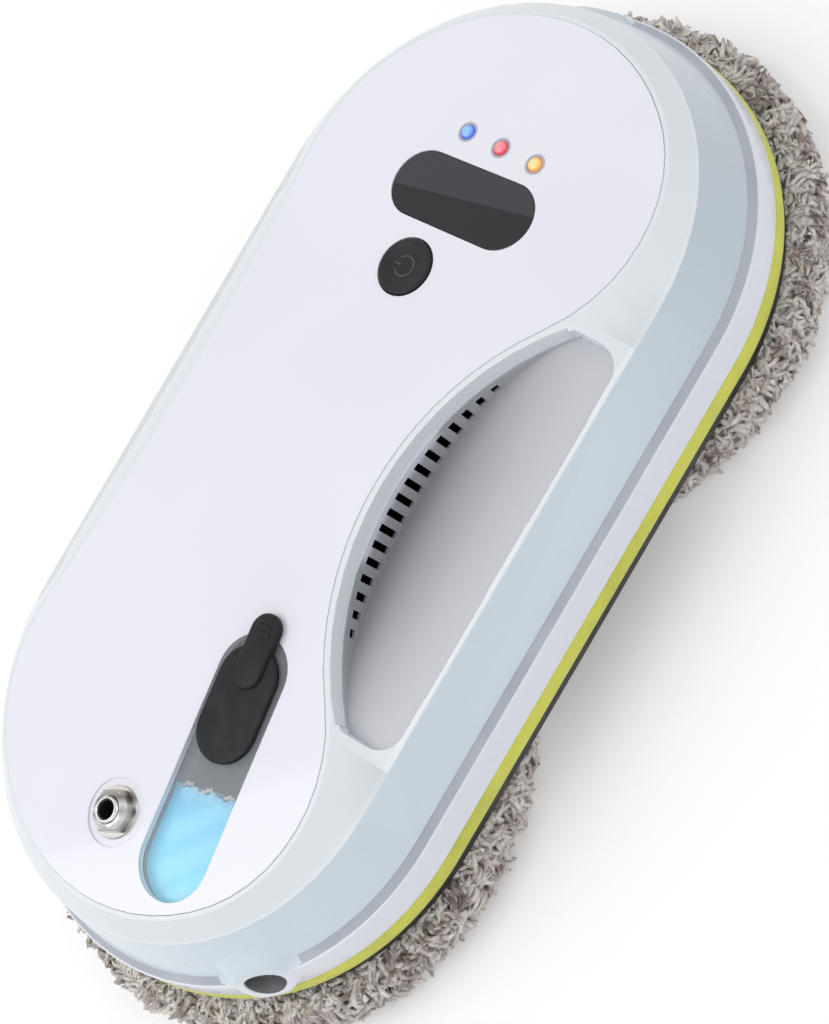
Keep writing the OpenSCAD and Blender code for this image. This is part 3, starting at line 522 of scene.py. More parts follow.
def lime_rubber():
    f = Finish("soft lime rubber")
    smudge = f.step(f.noise(45.0, 5.0, 0.65), 0.42, 0.72)
    f.set(Base_Color=f.mix(smudge * 0.5, look().gasket_colour, (0.40, 0.42, 0.05)),
          Sheen_Weight=0.15, Normal=f.grain(2400.0, 0.25, 3.0, 0.00015))
    return f.shine(0.42, 0.58)


def black_plastic():
    f = Finish("grained black plastic")
    cells = f.add("ShaderNodeTexVoronoi", {"feature": "F1"}, {"Vector": f.place(), "Scale": 1400.0})
    f.set(Base_Color=f.mix(f.step(f.noise(70.0), 0.3, 0.7), (0.012, 0.012, 0.014), (0.022, 0.022, 0.024)),
          Normal=f.bump(cells, 0.2))
    return f.shine(0.42, 0.56)


def tank_grey():
    """Smoked tank walls, with painted shade that darkens them down in the tank."""
    f = Finish("smoked tank plastic")
    # Painted shade: the walls darken down in the tank.
    depth = f.step(f.axis(2), 0.045, 0.059)
    f.set(Base_Color=f.mix(depth, (0.14, 0.15, 0.17), (0.36, 0.37, 0.40)), Coat_Weight=0.3,
          Normal=f.grain(700.0, 0.05))
    return f.shine(0.2, 0.3)


def tank_clear():
    """Clear window plastic with a faint grey body and a bright moulded rim."""
    f = Finish("clear window plastic")
    f.set(Base_Color=(0.80, 0.84, 0.88), Alpha=f.step(f.noise(30.0), 0.2, 0.8, 0.16, 0.22),
          Coat_Weight=0.6, Coat_Roughness=0.02)
    return f.shine(0.05, 0.09)


def water_blue():
    """Bright water: deeper blue under the wave, paling towards the far end, with a faint painted glow."""
    f = Finish("bright blue water")
    at = f.place(turn=-TANK_TURN, shift=(-TANK_MID[0] * MM, -TANK_MID[1] * MM, 0.0))
    along = f.axis(0, at) * 1000.0
    glow = f.noise(90.0, 2.0, 0.5, at)
    shades = f.ramp((along + (glow - 0.5) * 8.0 + 37.0) / 32.0,
                    [(0.0, (0.15, 0.80, 1.0)), (0.35, (0.07, 0.73, 0.98)), (0.75, (0.05, 0.64, 0.94)),
                     (0.93, (0.13, 0.56, 0.82)), (1.0, (0.06, 0.30, 0.50))])
    # Painted light: the water glows a little in its own colours.
    f.set(Base_Color=shades, Coat_Weight=0.5, Emission_Color=shades, Emission_Strength=0.22,
          Normal=f.bump(glow, 0.2, 0.001))
    return f.shine(0.08, 0.14)


def plug_rubber():
    f = Finish("dark moulded rubber")
    tone = f.step(f.noise(120.0, 4.0), 0.35, 0.7)
    f.set(Base_Color=f.mix(tone, (0.010, 0.011, 0.013), (0.017, 0.018, 0.020)),
          Specular_IOR_Level=0.22, Normal=f.grain(2600.0, 0.25, 3.0, 0.00012))
    return f.shine(0.36, 0.5)


def nut_metal():
    """Nickel on the inlet's nut, with painted reflections: light and dark bands that stand in for its facets'
    reflections.
    """
    f = Finish("nickel nut")
    # Painted reflections: light and dark bands across the nut in one direction.
    band = (f.axis(0) - JACK_AT[0] * MM) * 0.8 + (f.axis(1) - JACK_AT[1] * MM) * 0.6
    shade = f.ramp(f.step(band, -0.0068, 0.0068),
                   [(0.0, (0.42, 0.41, 0.40)), (0.22, (0.72, 0.71, 0.70)), (0.42, (0.36, 0.35, 0.34)),
                    (0.6, (0.74, 0.74, 0.74)), (0.8, (0.20, 0.185, 0.17)), (1.0, (0.50, 0.47, 0.44))])
    f.set(Base_Color=f.mix(f.noise(700.0) * 0.25, shade, (0.30, 0.29, 0.28)), Metallic=1.0,
          Normal=f.grain(900.0, 0.06))
    return f.shine(0.18, 0.3)


def tube_silicone():
    f = Finish("milky silicone tube")
    f.set(Base_Color=f.mix(f.noise(90.0), (0.70, 0.74, 0.76), (0.80, 0.83, 0.84)),
          Alpha=f.step(f.noise(40.0), 0.2, 0.8, 0.72, 0.82))
    return f.shine(0.22, 0.32)


def board_green():
    """Solder mask with copper tracks that run square to the board."""
    f = Finish("solder mask")
    across = f.axis(0) * 820.0
    along = f.axis(1) * 820.0
    tracks = f.step((across + f.noise(60.0) * 9.0).sine(), 0.80, 0.9) + f.step(along.sine(), 0.86, 0.95)
    f.set(Base_Color=f.mix(tracks, (0.010, 0.085, 0.030), (0.045, 0.20, 0.07)), Coat_Weight=0.3,
          Normal=f.bump(tracks, 0.1))
    return f.shine(0.25, 0.35)


def window_black():
    """Dark plastic that only infrared passes, polished, with a painted reflection that makes one side of a
    diagonal line lighter.
    """
    f = Finish("polished dark window")
    # Painted reflection: the window is lighter on one side of a sharp diagonal line.
    painted_reflection = f.step(f.axis(0) + f.axis(1) * 0.12, 0.0762, 0.0766)
    f.set(Base_Color=f.mix(painted_reflection, (0.012, 0.014, 0.018), (0.040, 0.043, 0.052)), Coat_Weight=0.15,
          Coat_Roughness=0.02, Specular_IOR_Level=0.3)
    return f.shine(0.06, 0.1)


def button_black():
    """Button cap: dark satin plastic with fine turned rings near its edge."""
    f = Finish("dark button cap")
    reach = f.apart(BUTTON_AT) ** 0.5
    rings = (reach * 9000.0).sine() * f.step(reach, 0.0052, 0.0062)
    f.set(Base_Color=f.mix(f.noise(300.0), (0.011, 0.012, 0.014), (0.017, 0.018, 0.021)),
          Specular_IOR_Level=0.3, Normal=f.bump(rings, 0.12))
    return f.shine(0.26, 0.36)


def hook_nylon():
    f = Finish("woven hook tape")
    weave = (f.axis(0) * 5200.0).sine() * (f.axis(1) * 5200.0).sine()
    f.set(Base_Color=f.mix(f.step(weave, -0.3, 0.3), (0.014, 0.014, 0.016), (0.05, 0.05, 0.055)),
          Sheen_Weight=0.3, Normal=f.bump(weave, 0.5, 0.0003))
    return f.shine(0.7, 0.85)


def microfibre():
    """Mottled chenille: each strand has its own tone, and painted shade makes its root darker than its tip.
    """
    f = Finish("mottled microfibre")
    tone, tip = (f.add("ShaderNodeAttribute", {"attribute_name": name, "attribute_type": "GEOMETRY"}, out=2)
                 for name in ("tone", "tip"))
    mottle = tone * 0.3 + f.step(f.noise(150.0, 3.0, 0.6), 0.34, 0.62) * 0.7
    colour = f.ramp(mottle, [(0.0, (0.20, 0.16, 0.145)), (0.15, (0.38, 0.32, 0.295)),
                             (0.35, (0.64, 0.575, 0.545)), (0.7, (0.80, 0.745, 0.715)),
                             (1.0, (0.94, 0.905, 0.88))])
    # Painted shade: each strand darkens from halfway down towards its root.
    colour = f.mix(f.step(tip, 0.0, 0.5, 0.6, 1.0), (0.40, 0.34, 0.31), colour)
    f.set(Base_Color=colour, Sheen_Weight=0.5, Sheen_Roughness=0.5, Sheen_Tint=(0.9, 0.86, 0.82),
          Specular_IOR_Level=0.2, Normal=f.grain(2500.0, 0.5, 3.0, 0.0004))
    return f.shine(0.8, 0.95)


RECIPES = {maker.__name__: (maker,) for maker in (
    plate_white, housing_white, tub_grey, trim_grey, lime_rubber, black_plastic, tank_grey, tank_clear,
    water_blue, plug_rubber, nut_metal, tube_silicone, board_green, window_black, button_black,
    hook_nylon, microfibre)}
RECIPES.update({
    "bright_metal": (lined_metal, "nickel plate", 220.0, 14.0, (0.60, 0.60, 0.61), (0.74, 0.74, 0.75),
                     0.08, 0.14, 0.24, 500.0),
    "motor_steel": (lined_metal, "brushed motor steel", 300.0, 10.0, (0.42, 0.42, 0.44),
                    (0.55, 0.55, 0.57), 0.12, 0.28, 0.42),
    "bush_bronze": (plain, "sintered bronze", 500.0, (0.40, 0.24, 0.09), (0.55, 0.36, 0.15),
                    (0.3, 0.45), (1800.0, 0.2), {"Metallic": 1.0}),
    "contact_gold": (plain, "gilt contact", 400.0, (0.16, 0.11, 0.05), (0.22, 0.16, 0.08),
                     (0.16, 0.26), None, {"Metallic": 1.0}),
    "gear_ivory": (plain, "natural acetal", 80.0, (0.70, 0.66, 0.55), (0.76, 0.73, 0.62),
                   (0.3, 0.4), (1500.0, 0.08)),
    "duct_grey": (plain, "grey inner moulding", 60.0, (0.09, 0.095, 0.10), (0.13, 0.135, 0.145),
                  (0.45, 0.58), (1600.0, 0.15)),
    "pump_white": (plain, "white pump moulding", 70.0, (0.66, 0.66, 0.66), (0.74, 0.74, 0.74),
                   (0.35, 0.45), (1600.0, 0.1)),
    "battery_wrap": (plain, "blue shrink wrap", 40.0, (0.015, 0.05, 0.30), (0.02, 0.08, 0.38),
                     (0.18, 0.28), (130.0, 0.15, 3.0, 0.0004), {"Coat_Weight": 0.4}),
    "symbol_grey": (plain, "grey printed mark", 900.0, (0.050, 0.050, 0.056), (0.075, 0.075, 0.082),
                    (0.35, 0.45)),
    "bezel_white": (plain, "shaded lens seat", 300.0, (0.42, 0.43, 0.50), (0.50, 0.51, 0.58), (0.3, 0.4)),
    "lens_blue": (lens, "blue lens", LED_AT["led_blue"], (0.02, 0.09, 0.70), (0.22, 0.45, 1.0)),
    "lens_red": (lens, "red lens", LED_AT["led_red"], (0.62, 0.01, 0.03), (1.0, 0.22, 0.26)),
    "lens_amber": (lens, "amber lens", LED_AT["led_amber"], (0.85, 0.30, 0.03), (1.0, 0.62, 0.24)),
})

# Finish of the solids that stay as they are, where a star stands for left and right
INNER = {
    "black_plastic": ["wheel_disc_*"], "hook_nylon": ["hook_ring_*"], "gear_ivory": ["hub_gear_*"],
    "bush_bronze": ["hub_bush_*", "pinion_*"],
    "motor_steel": ["drive_motor_*", "fan_shaft", "motor_screws", "base_screws"],
    "duct_grey": ["suction_duct", "fan_housing", "fan_motor", "button_switch"],
    "trim_grey": ["impeller"], "plug_rubber": ["plug_anchor"], "pump_white": ["water_pump"],
    "tube_silicone": ["water_tube_*"], "board_green": ["main_board"], "battery_wrap": ["battery_pack"],
    "window_black": ["ir_receiver"], "contact_gold": ["jack_pin"], "bright_metal": ["nozzle_*"],
}


# Shapes of the outer pieces

def wall_reach(z):
    """Distance from the lobe centre to the body's side at a height, both in millimetres."""
    for (low, wide), (high, narrow) in zip(WALL, WALL[1:]):
        if z <= high:
            break
    return wide - (wide - narrow) * (z - low) / (high - low)


def sweep_tree(name, material):
    """Carries a flat profile round the body's long oval."""
    tree = Tree(name, OVAL_SIZES)
    circle = tree.add("GeometryNodeCurvePrimitiveCircle", {"mode": "RADIUS"},
                      {"Resolution": tree.given("Steps"), "Radius": tree.given("Radius")})
    place = tree.add("GeometryNodeInputPosition")
    side = tree.maths("SIGN", tree.add("ShaderNodeSeparateXYZ", {}, {0: place}))
    push = tree.maths("MULTIPLY", side, tree.given("Half length"))
    shift = tree.add("ShaderNodeCombineXYZ", {}, {"X": push})
    oval = tree.add("GeometryNodeSetPosition", {}, {"Geometry": circle, "Offset": shift})
    level = tree.add("GeometryNodeSetCurveNormal", {"mode": "Z_UP"}, {"Curve": oval})
    profile = tree.add("GeometryNodeMeshToCurve", {}, {"Mesh": tree.given("Geometry")})
    swept = tree.add("GeometryNodeCurveToMesh", {}, {"Curve": level, "Profile Curve": profile})
    return tree.finish(swept, material)


def rounded_profile(corners, radius, steps=4):
    """A closed outline with each corner rounded off by up to radius."""
    out = []
    count = len(corners)
    for i, here in enumerate(corners):
        before, after = Vector(corners[i - 1]), Vector(corners[(i + 1) % count])
        here = Vector(here)
        into, away = (before - here), (after - here)
        cut = min(radius, into.length * 0.45, away.length * 0.45)
        start, end = here + into.normalized() * cut, here + away.normalized() * cut
        for k in range(steps + 1):
            f = k / steps
            out.append((1 - f) ** 2 * start + 2 * f * (1 - f) * here + f ** 2 * end)
    return out


def swept_band(name, profile, finish, rounding):
    """A band of the body: profile gives distance from the lobe centre and height."""
    outline = rounded_profile(profile, rounding)
    mesh = bpy.data.meshes.new(name)
    mesh.from_pydata([((r - BODY_R) * MM, -z * MM, 0.0) for r, z in outline],
                     [(i, (i + 1) % len(outline)) for i in range(len(outline))], [])
    tree = sweep_tree(name + " sweep", finish_named(finish))
    return settle(tree_piece(name, tree, OVAL_SIZES, mesh), 2e-6, 50.0)


def scoop_height(x, y):
    """Height of the recess floor, which falls from the outer bar to the curved wall."""
    along = max(0.0, 1 - (x / GRIP_HALF) ** 2)
    across = max(0.0, (y - GRIP_Y) / SCOOP_RUN)
    return SKIRT_Z - GRIP_DEEP * along * across


def wall_line(x):
    return GRIP_MID_Y + math.sqrt(GRIP_R ** 2 - x * x)


def recess_floor():
    """The scooped floor, a little larger than the opening so that it runs under the bar."""
    cols, rows, near, thick = 116, 60, -65.4, 1.6
    half = GRIP_HALF + 1.0
    top = []
    for i in range(cols + 1):
        x = -half + 2 * half * i / cols
        far = wall_line(x) + 0.35
        for j in range(rows + 1):
            y = near + (far - near) * j / rows
            top.append((x, y, min(scoop_height(x, y), SKIRT_Z - 0.55)))
    low = [(x, y, z - thick) for x, y, z in top]
    return slab("grip_floor", top, low, rows, 1e-6, 60.0)


def recess_wall():
    """The curved wall with its row of air slots, each with its own reveal."""
    slots = [SLOT_STEP * k for k in range(-9, 10)]
    half, deep = 1.0, 1.0
    lines = [-58.0 + 2.0 * k for k in range(59)]
    for x in slots:
        lines = [v for v in lines if abs(v - x) > half + 0.4] + [x - half, x + half]
    lines = sorted(lines)
    top = SKIRT_Z + 0.02
    points, faces = [], []

    def rows_at(x, y):
        foot = scoop_height(x, y) + 1.0
        high = max(foot + 0.02, 54.4)
        return (min(scoop_height(x, y) - 0.4, top - 0.5), min(foot, top - 0.3), min(high, top - 0.15), top)

    for x in lines:
        y = wall_line(x)
        slot = min(slots, key=lambda v: abs(v - x))
        at = slot if abs(x - slot) < half + 0.01 else x
        z = rows_at(at, wall_line(at))
        for back in (0.0, deep):
            for h in z:
                points.append((x, y + back, h))
    for i in range(len(lines) - 1):
        a, b = i * 8, (i + 1) * 8
        mid = (lines[i] + lines[i + 1]) / 2
        is_slot = any(abs(mid - x) < 0.01 for x in slots) and points[a + 2][2] - points[a + 1][2] > 1.2
        for k in range(3):
            if is_slot and k == 1:
                continue
            faces.append((a + k, b + k, b + k + 1, a + k + 1))
            faces.append((a + 4 + k, a + 5 + k, b + 5 + k, b + 4 + k))
        faces.append((a + 3, b + 3, b + 7, a + 7))
        faces.append((a, a + 4, b + 4, b))
        if is_slot:
            faces += [(a + 1, b + 1, b + 5, a + 5), (a + 2, a + 6, b + 6, b + 2),
                      (a + 1, a + 5, a + 6, a + 2), (b + 1, b + 2, b + 6, b + 5)]
    last = (len(lines) - 1) * 8
    for k in range(3):
        faces += [(k, k + 1, k + 5, k + 4), (last + k, last + 4 + k, last + 5 + k, last + k + 1)]
    return settle(link_mesh("grip_wall", points, faces), 1e-6, 40.0)


def recess_lip():
    """A rounded lip along the outer bar and round both ends of the recess."""
    corner, end_y, steps = 7.0, -50.4, 12
    path = [(-GRIP_HALF, end_y, -1.0, 0.0)]
    for sign, start in ((-1, 180), (1, 270)):
        for k in range(steps + 1):
            a = math.radians(start + 90 * k / steps)
            c, s = math.cos(a), math.sin(a)
            path.append((sign * (GRIP_HALF - corner) + corner * c, GRIP_Y + corner + corner * s, c, s))
    path.append((GRIP_HALF, end_y, 1.0, 0.0))
    profile = [(1.38, 0.0), (1.2, 0.15), (0.9, 0.24), (0.5, 0.26), (0.15, 0.14), (-0.06, -0.12),
               (-0.12, -0.5), (-0.12, -1.4), (1.38, -1.4)]
    return loft("grip_lip", [[(x + u * out, y + v * out, SKIRT_Z + rise) for out, rise in profile]
                             for x, y, u, v in path])


def pierced(piece):
    """Opens both spray holes in a band that runs across them."""
    count, inset = 48, 0.05
    for side, sign in SIDES.items():
        turn = math.radians(NOZZLE_TURN[side])
        rings = []
        for r in (67.0, 82.0):
            ring = []
            for i in range(count):
                a = 2 * math.pi * i / count
                u, z = (MOUTH[0] - inset) * math.cos(a), MOUTH_Z + (MOUTH[1] - inset) * math.sin(a)
                ring.append((sign * LOBE_X + r * math.cos(turn) - u * math.sin(turn),
                             r * math.sin(turn) + u * math.cos(turn), z))
            rings.append(ring)
        cutter = loft("spray_bore", rings, angle=60.0)
        bore = piece.modifiers.new("Spray hole", "BOOLEAN")
        bore.object = cutter
        bore.solver = "EXACT"
        bake_modifiers(piece)
        bpy.data.objects.remove(cutter)
    return piece


def swelling(side):
    """The smooth swelling over a spray hole, and the dark grey cup that lines the hole as painted shade."""
    sign = SIDES[side]
    turn = math.radians(NOZZLE_TURN[side])
    (hole_u, hole_z), deep, count, rings = MOUTH, 4.4, 72, 26

    def reach_at(z, u, out):
        base = wall_reach(z)
        crest = 77.8 - 0.42 * max(0.0, z - MOUTH_Z + hole_z) - 0.004 * u * u
        crest = max(crest, base + (1.3 if z > HOUSE_Z else 0.35))
        ease = 1 - out
        ease = ease * ease * (3 - 2 * ease)
        return base - 0.35 + (max(crest, base) + 0.35 - base) * min(1.0, ease * 1.3)

    def ring_at(place):
        ring = []
        for i in range(count):
            a = 2 * math.pi * i / count
            u, z, r = place(math.cos(a), math.sin(a))
            b = turn + u / r
            ring.append((sign * LOBE_X + r * math.cos(b), r * math.sin(b), z))
        return ring

    def skin(out):
        def place(c, s):
            far = 14.5 if s > 0 else 7.6
            edge = (abs(c / 12.6) ** 2.4 + abs(s / far) ** 2.4) ** (-1 / 2.4)
            u = c * (hole_u + (edge - hole_u) * out)
            z = MOUTH_Z + s * (hole_z + (edge - hole_z) * out)
            return u, z, reach_at(z, u, out)
        return place

    def inside(shrink, sink):
        def place(c, s):
            u, z = (hole_u - shrink) * c, MOUTH_Z + (hole_z - shrink) * s
            return u, z, reach_at(MOUTH_Z + hole_z * s, hole_u * c, 0.0) - sink
        return place

    def behind(c, s):
        u, z, r = skin(1.0)(c, s)
        return u, z, r - 1.6

    shell = [ring_at(skin(1 - k / rings)) for k in range(rings + 1)]
    shell += [ring_at(inside(*lip)) for lip in ((0.10, 0.06), (0.28, 0.30), (0.40, 0.9), (-0.4, 1.5))]
    # Painted shade: a dark grey cup deep in the hole.
    cup = [(0.36, 0.5), (0.48, 0.7), (0.6, 2.0), (0.8, deep), (2.9, deep + 0.2), (2.9, deep + 1.0),
           (0.3, deep + 0.9)]
    return [loft("spray_cowl_" + side, shell + [ring_at(behind)], True, 60.0),
            loft("spray_cup_" + side, [ring_at(inside(*lip)) for lip in cup], True, 60.0)]


def oval(centre_a, centre_b, radius, steps):
    """Outline of a plate with round ends between two centres."""
    a, b = Vector(centre_a), Vector(centre_b)
    turn = math.atan2(b.y - a.y, b.x - a.x)
    out = []
    for end, at in enumerate((a, b)):
        for i in range(steps + 1):
            t = turn + math.pi / 2 + math.pi * (end + i / steps)
            out.append((at.x + radius * math.cos(t), at.y + radius * math.sin(t)))
    return out


def oval_stack(name, a, b, base, layers, steps=24):
    """A closed piece of ovals between two centres, each with a radius and a height over base."""
    return loft(name, [[(x, y, base + z) for x, y in oval(a, b, radius, steps)] for radius, z in layers])


def tank_point(along, across=0.0):
    """A place on the tank's axis, measured from its middle towards the fill plug."""
    a = math.radians(TANK_TURN)
    return (TANK_MID[0] + along * math.cos(a) - across * math.sin(a),
            TANK_MID[1] + along * math.sin(a) + across * math.cos(a))


def water_body():
    """Water in the far end of the tank, with a rippled front and a low swell on top."""
    rng = random.Random(11)
    phase = [rng.uniform(0, 6.28) for _ in range(4)]
    cols, rows, radius = 40, 60, 11.75
    front = -7.2

    def edge(across):
        return (front - 0.09 * across + 0.55 * math.sin(across * 0.9 + phase[0])
                + 0.30 * math.sin(across * 2.1 + phase[1]) + 0.18 * math.sin(across * 4.3 + phase[2]))

    top, low = [], []
    for i in range(cols + 1):
        across = -radius + 2 * radius * i / cols
        near = TANK_END - math.sqrt(max(0.0, radius * radius - across * across))
        for j in range(rows + 1):
            f = (j / rows) ** 0.8
            along = near + (edge(across) - near) * f
            crest = math.exp(-((edge(across) - along) / 1.1) ** 2)
            swell = 0.12 * math.sin(along * 0.55 + phase[3]) * math.sin(across * 0.5) + 0.55 * crest
            x, y = tank_point(along, across)
            top.append((x, y, 57.2 + swell))
            low.append((x, y, 46.15))
    return slab("tank_water_body", top, low, rows, 2e-6, 70.0)


def foam_line():
    """The thin pale froth along the wave, as a row of small flat beads."""
    rng = random.Random(5)
    points, faces = [], []
    count, rings, around = 70, 6, 8
    for i in range(count):
        across = -10.6 + 21.2 * i / (count - 1)
        along = -6.9 - 0.09 * across + 0.8 * math.sin(across * 0.9 + 1.0) + rng.uniform(-0.35, 0.35)
        size = rng.uniform(0.2, 0.42)
        faces += ring_faces(around, rings, len(points))
        for k in range(rings):
            t = math.pi * (k + 0.5) / rings
            for m in range(around):
                p = 2 * math.pi * m / around
                r = size * math.sin(t)
                x, y = tank_point(along + r * math.cos(p), across + r * math.sin(p))
                points.append((x, y, 57.5 + 0.4 * size * math.cos(t)))
    return settle(link_mesh("tank_water_froth", points, faces), 1e-7, 80.0)


def fill_plug():
    """The rubber fill plug with its raised finger tab."""
    a, b = (tank_point(TANK_END + along) for along in PLUG_SPAN)
    base = BODY_H - 0.2
    rise = BODY_H + 0.15
    pad = oval_stack("fill_plug_pad", a, b, base,
                     [(9.0, 0.0), (9.4, 0.25), (9.4, 1.1), (9.22, 1.5), (8.8, 1.68), (8.3, 1.7)])
    tab = oval_stack("fill_plug_tab", tank_point(TANK_END + 50.5), tank_point(TANK_END + 62.0), rise,
                     [(4.1, 0.0), (4.6, 0.4), (4.6, 1.7), (4.35, 2.1), (3.9, 2.3)])
    ribs = []
    for k in range(3):
        ends = [tank_point(TANK_END + 61.0 + 1.6 * k, across) for across in (-2.1, 2.1)]
        ribs.append(oval_stack("fill_plug_rib_%d" % k, *ends, rise,
                               [(0.45, 2.0), (0.45, 2.5), (0.25, 2.65)], 8))
    stem = lathe("fill_plug_stem", [(0.0, -2.6), (4.6, -2.6), (5.0, -2.2), (5.0, 0.1), (0.0, 0.1)],
                 tank_point(TANK_END + sum(PLUG_SPAN) / 2), 48, base)
    return [pad, tab, stem, *ribs]


def status_lens(node, centre):
    """A domed lens, and the shaded seat round it."""
    return [lathe(node + "_lens", [(0.0, -6.0), (2.0, -6.0), (2.05, -0.1), (1.95, 0.22), (1.7, 0.52),
                                   (1.3, 0.78), (0.75, 0.95), (0.0, 1.0)], centre, 40, BODY_H),
            lathe(node + "_seat", [(2.12, -1.4), (2.9, -0.02), (2.95, 0.05), (2.75, 0.12), (2.35, 0.08),
                                   (2.12, -0.1)], centre, 40, BODY_H)]


def button_cap():
    """Dished power button with a soft rim."""
    return lathe("power_button_cap", [
        (0.0, -4.0), (7.9, -4.0), (8.15, -3.6), (8.2, -0.7), (8.05, -0.25), (7.7, 0.0), (7.2, 0.02),
        (6.6, -0.12), (5.6, -0.28), (3.5, -0.42), (1.5, -0.47), (0.0, -0.48)], BUTTON_AT, 96, BUTTON_TOP)


def power_mark():
    """The generic open ring and stroke, raised a hair above the dished button."""
    top, radius, half = BUTTON_TOP - 0.33, 2.9, 0.21
    turns = [math.radians(125 + 290 * i / 48) for i in range(49)]
    arc = [(radius * math.cos(a), radius * math.sin(a), math.cos(a), math.sin(a)) for a in turns]
    points, faces = [], []
    for line in (arc, [(0.0, r, -1.0, 0.0) for r in (1.3, 2.4, 3.6)]):
        faces += ring_faces(4, len(line), len(points))
        for x, y, nx, ny in line:
            for side, z in ((-half, top - 0.2), (-half, top), (half, top), (half, top - 0.2)):
                points.append((BUTTON_AT[0] + x + nx * side, BUTTON_AT[1] + y + ny * side, z))
    return settle(link_mesh("power_button_mark", points, faces), 1e-7, 40.0)


def inlet_barrel():
    """Threaded barrel of the power inlet, hollow down to its contact."""
    thread = []
    for k in range(7):
        z = 0.3 + 0.5 * k
        thread += [(3.18, z), (3.4, z + 0.25), (3.18, z + 0.5)]
    return lathe("power_inlet_barrel", [
        (2.8, -7.7), (4.5, -7.7), (4.55, -0.5), (3.35, -0.45), *thread, (3.3, 3.85), (3.3, 4.15),
        (3.15, 4.3), (2.95, 4.3), (2.8, 4.1)], JACK_AT, 64, BODY_H)


def inlet_lining():
    """Black sleeve inside the inlet's bore, open round the contact pin."""
    return lathe("power_inlet_lining", [(2.79, -0.3), (2.79, -6.1), (1.15, -6.1), (1.15, -5.8),
                                        (2.45, -5.7), (2.45, -0.5)], JACK_AT, 48, INLET_TOP)


def inlet_nut():
    """Hexagon nut with turned-down corners on a thin washer."""
    count = 60
    layers = []
    for shrink, z in ((None, 0.5), (0.35, 0.5), (0.0, 0.75), (0.0, 2.7), (0.25, 3.0), (0.75, 3.3),
                      (None, 3.3)):
        outline = []
        for i in range(count):
            a = 2 * math.pi * i / count
            flat = 6.3 * math.cos(math.pi / 6) / math.cos((a % (math.pi / 3)) - math.pi / 6)
            r = NUT_BORE if shrink is None else min(flat, 6.05 if shrink else 6.25) - shrink * 0.8
            outline.append((JACK_AT[0] + r * math.cos(a), JACK_AT[1] + r * math.sin(a), NUT_BASE + z))
        layers.append(outline)
    collar = [(NUT_BORE, 3.2), (5.3, 3.2), (4.4, 3.75), (3.9, 3.9), (NUT_BORE, 3.7)]
    washer = [(NUT_BORE, 0.0), (6.9, 0.0), (7.1, 0.2), (6.9, 0.5), (NUT_BORE, 0.5)]
    return [loft("power_inlet_hexagon", layers, True, 28.0),
            lathe("power_inlet_collar", collar, JACK_AT, 60, NUT_BASE),
            lathe("power_inlet_washer", washer, JACK_AT, 60, NUT_BASE)]


# Cleaning pads

def pile_ground(side):
    """The felt under the pile: outer wall, rolled rim and working face of one pad."""
    c = (SIDES[side] * WHEEL_X, 0.0)
    profile = [(27.0, 2.6), (29.0, 1.0), (40.0, 0.9), (58.0, 0.9), (69.5, 1.0), (73.8, 2.4), (76.4, 5.2),
               (77.4, 9.0), (77.0, 12.6), (75.4, 15.2), (72.6, 16.4), (70.2, 16.6), (70.2, 13.6),
               (40.0, 13.45), (26.3, 13.45), (26.2, 6.0)]
    return lathe("pad_ground_" + side, profile, c, 128)


def strand_mesh(name, curl):
    """One soft curled strand of yarn, standing on its root."""
    points = []
    reach, sides, rows = 6.6, 3, 4
    bend = math.radians(curl)
    for k in range(rows + 1):
        f = k / rows
        r = (1.0 - 0.30 * f) * (1.0 if k < rows else 0.55)
        a = bend * f
        middle = (reach / bend * (1 - math.cos(a)), 0.7 * math.sin(4.0 * f), reach / bend * math.sin(a) - 0.4)
        for m in range(sides):
            t = 2 * math.pi * m / sides
            u, v = r * math.cos(t), r * math.sin(t)
            points.append((middle[0] + u * math.cos(a), middle[1] + v, middle[2] - u * math.sin(a)))
    piece = link_mesh(name, points, ring_faces(sides, rows + 1))
    piece.data.shade_smooth()
    tip = piece.data.attributes.new("tip", "FLOAT", "POINT")
    for n in range(len(points)):
        tip.data[n].value = (n // sides) / rows
    return piece


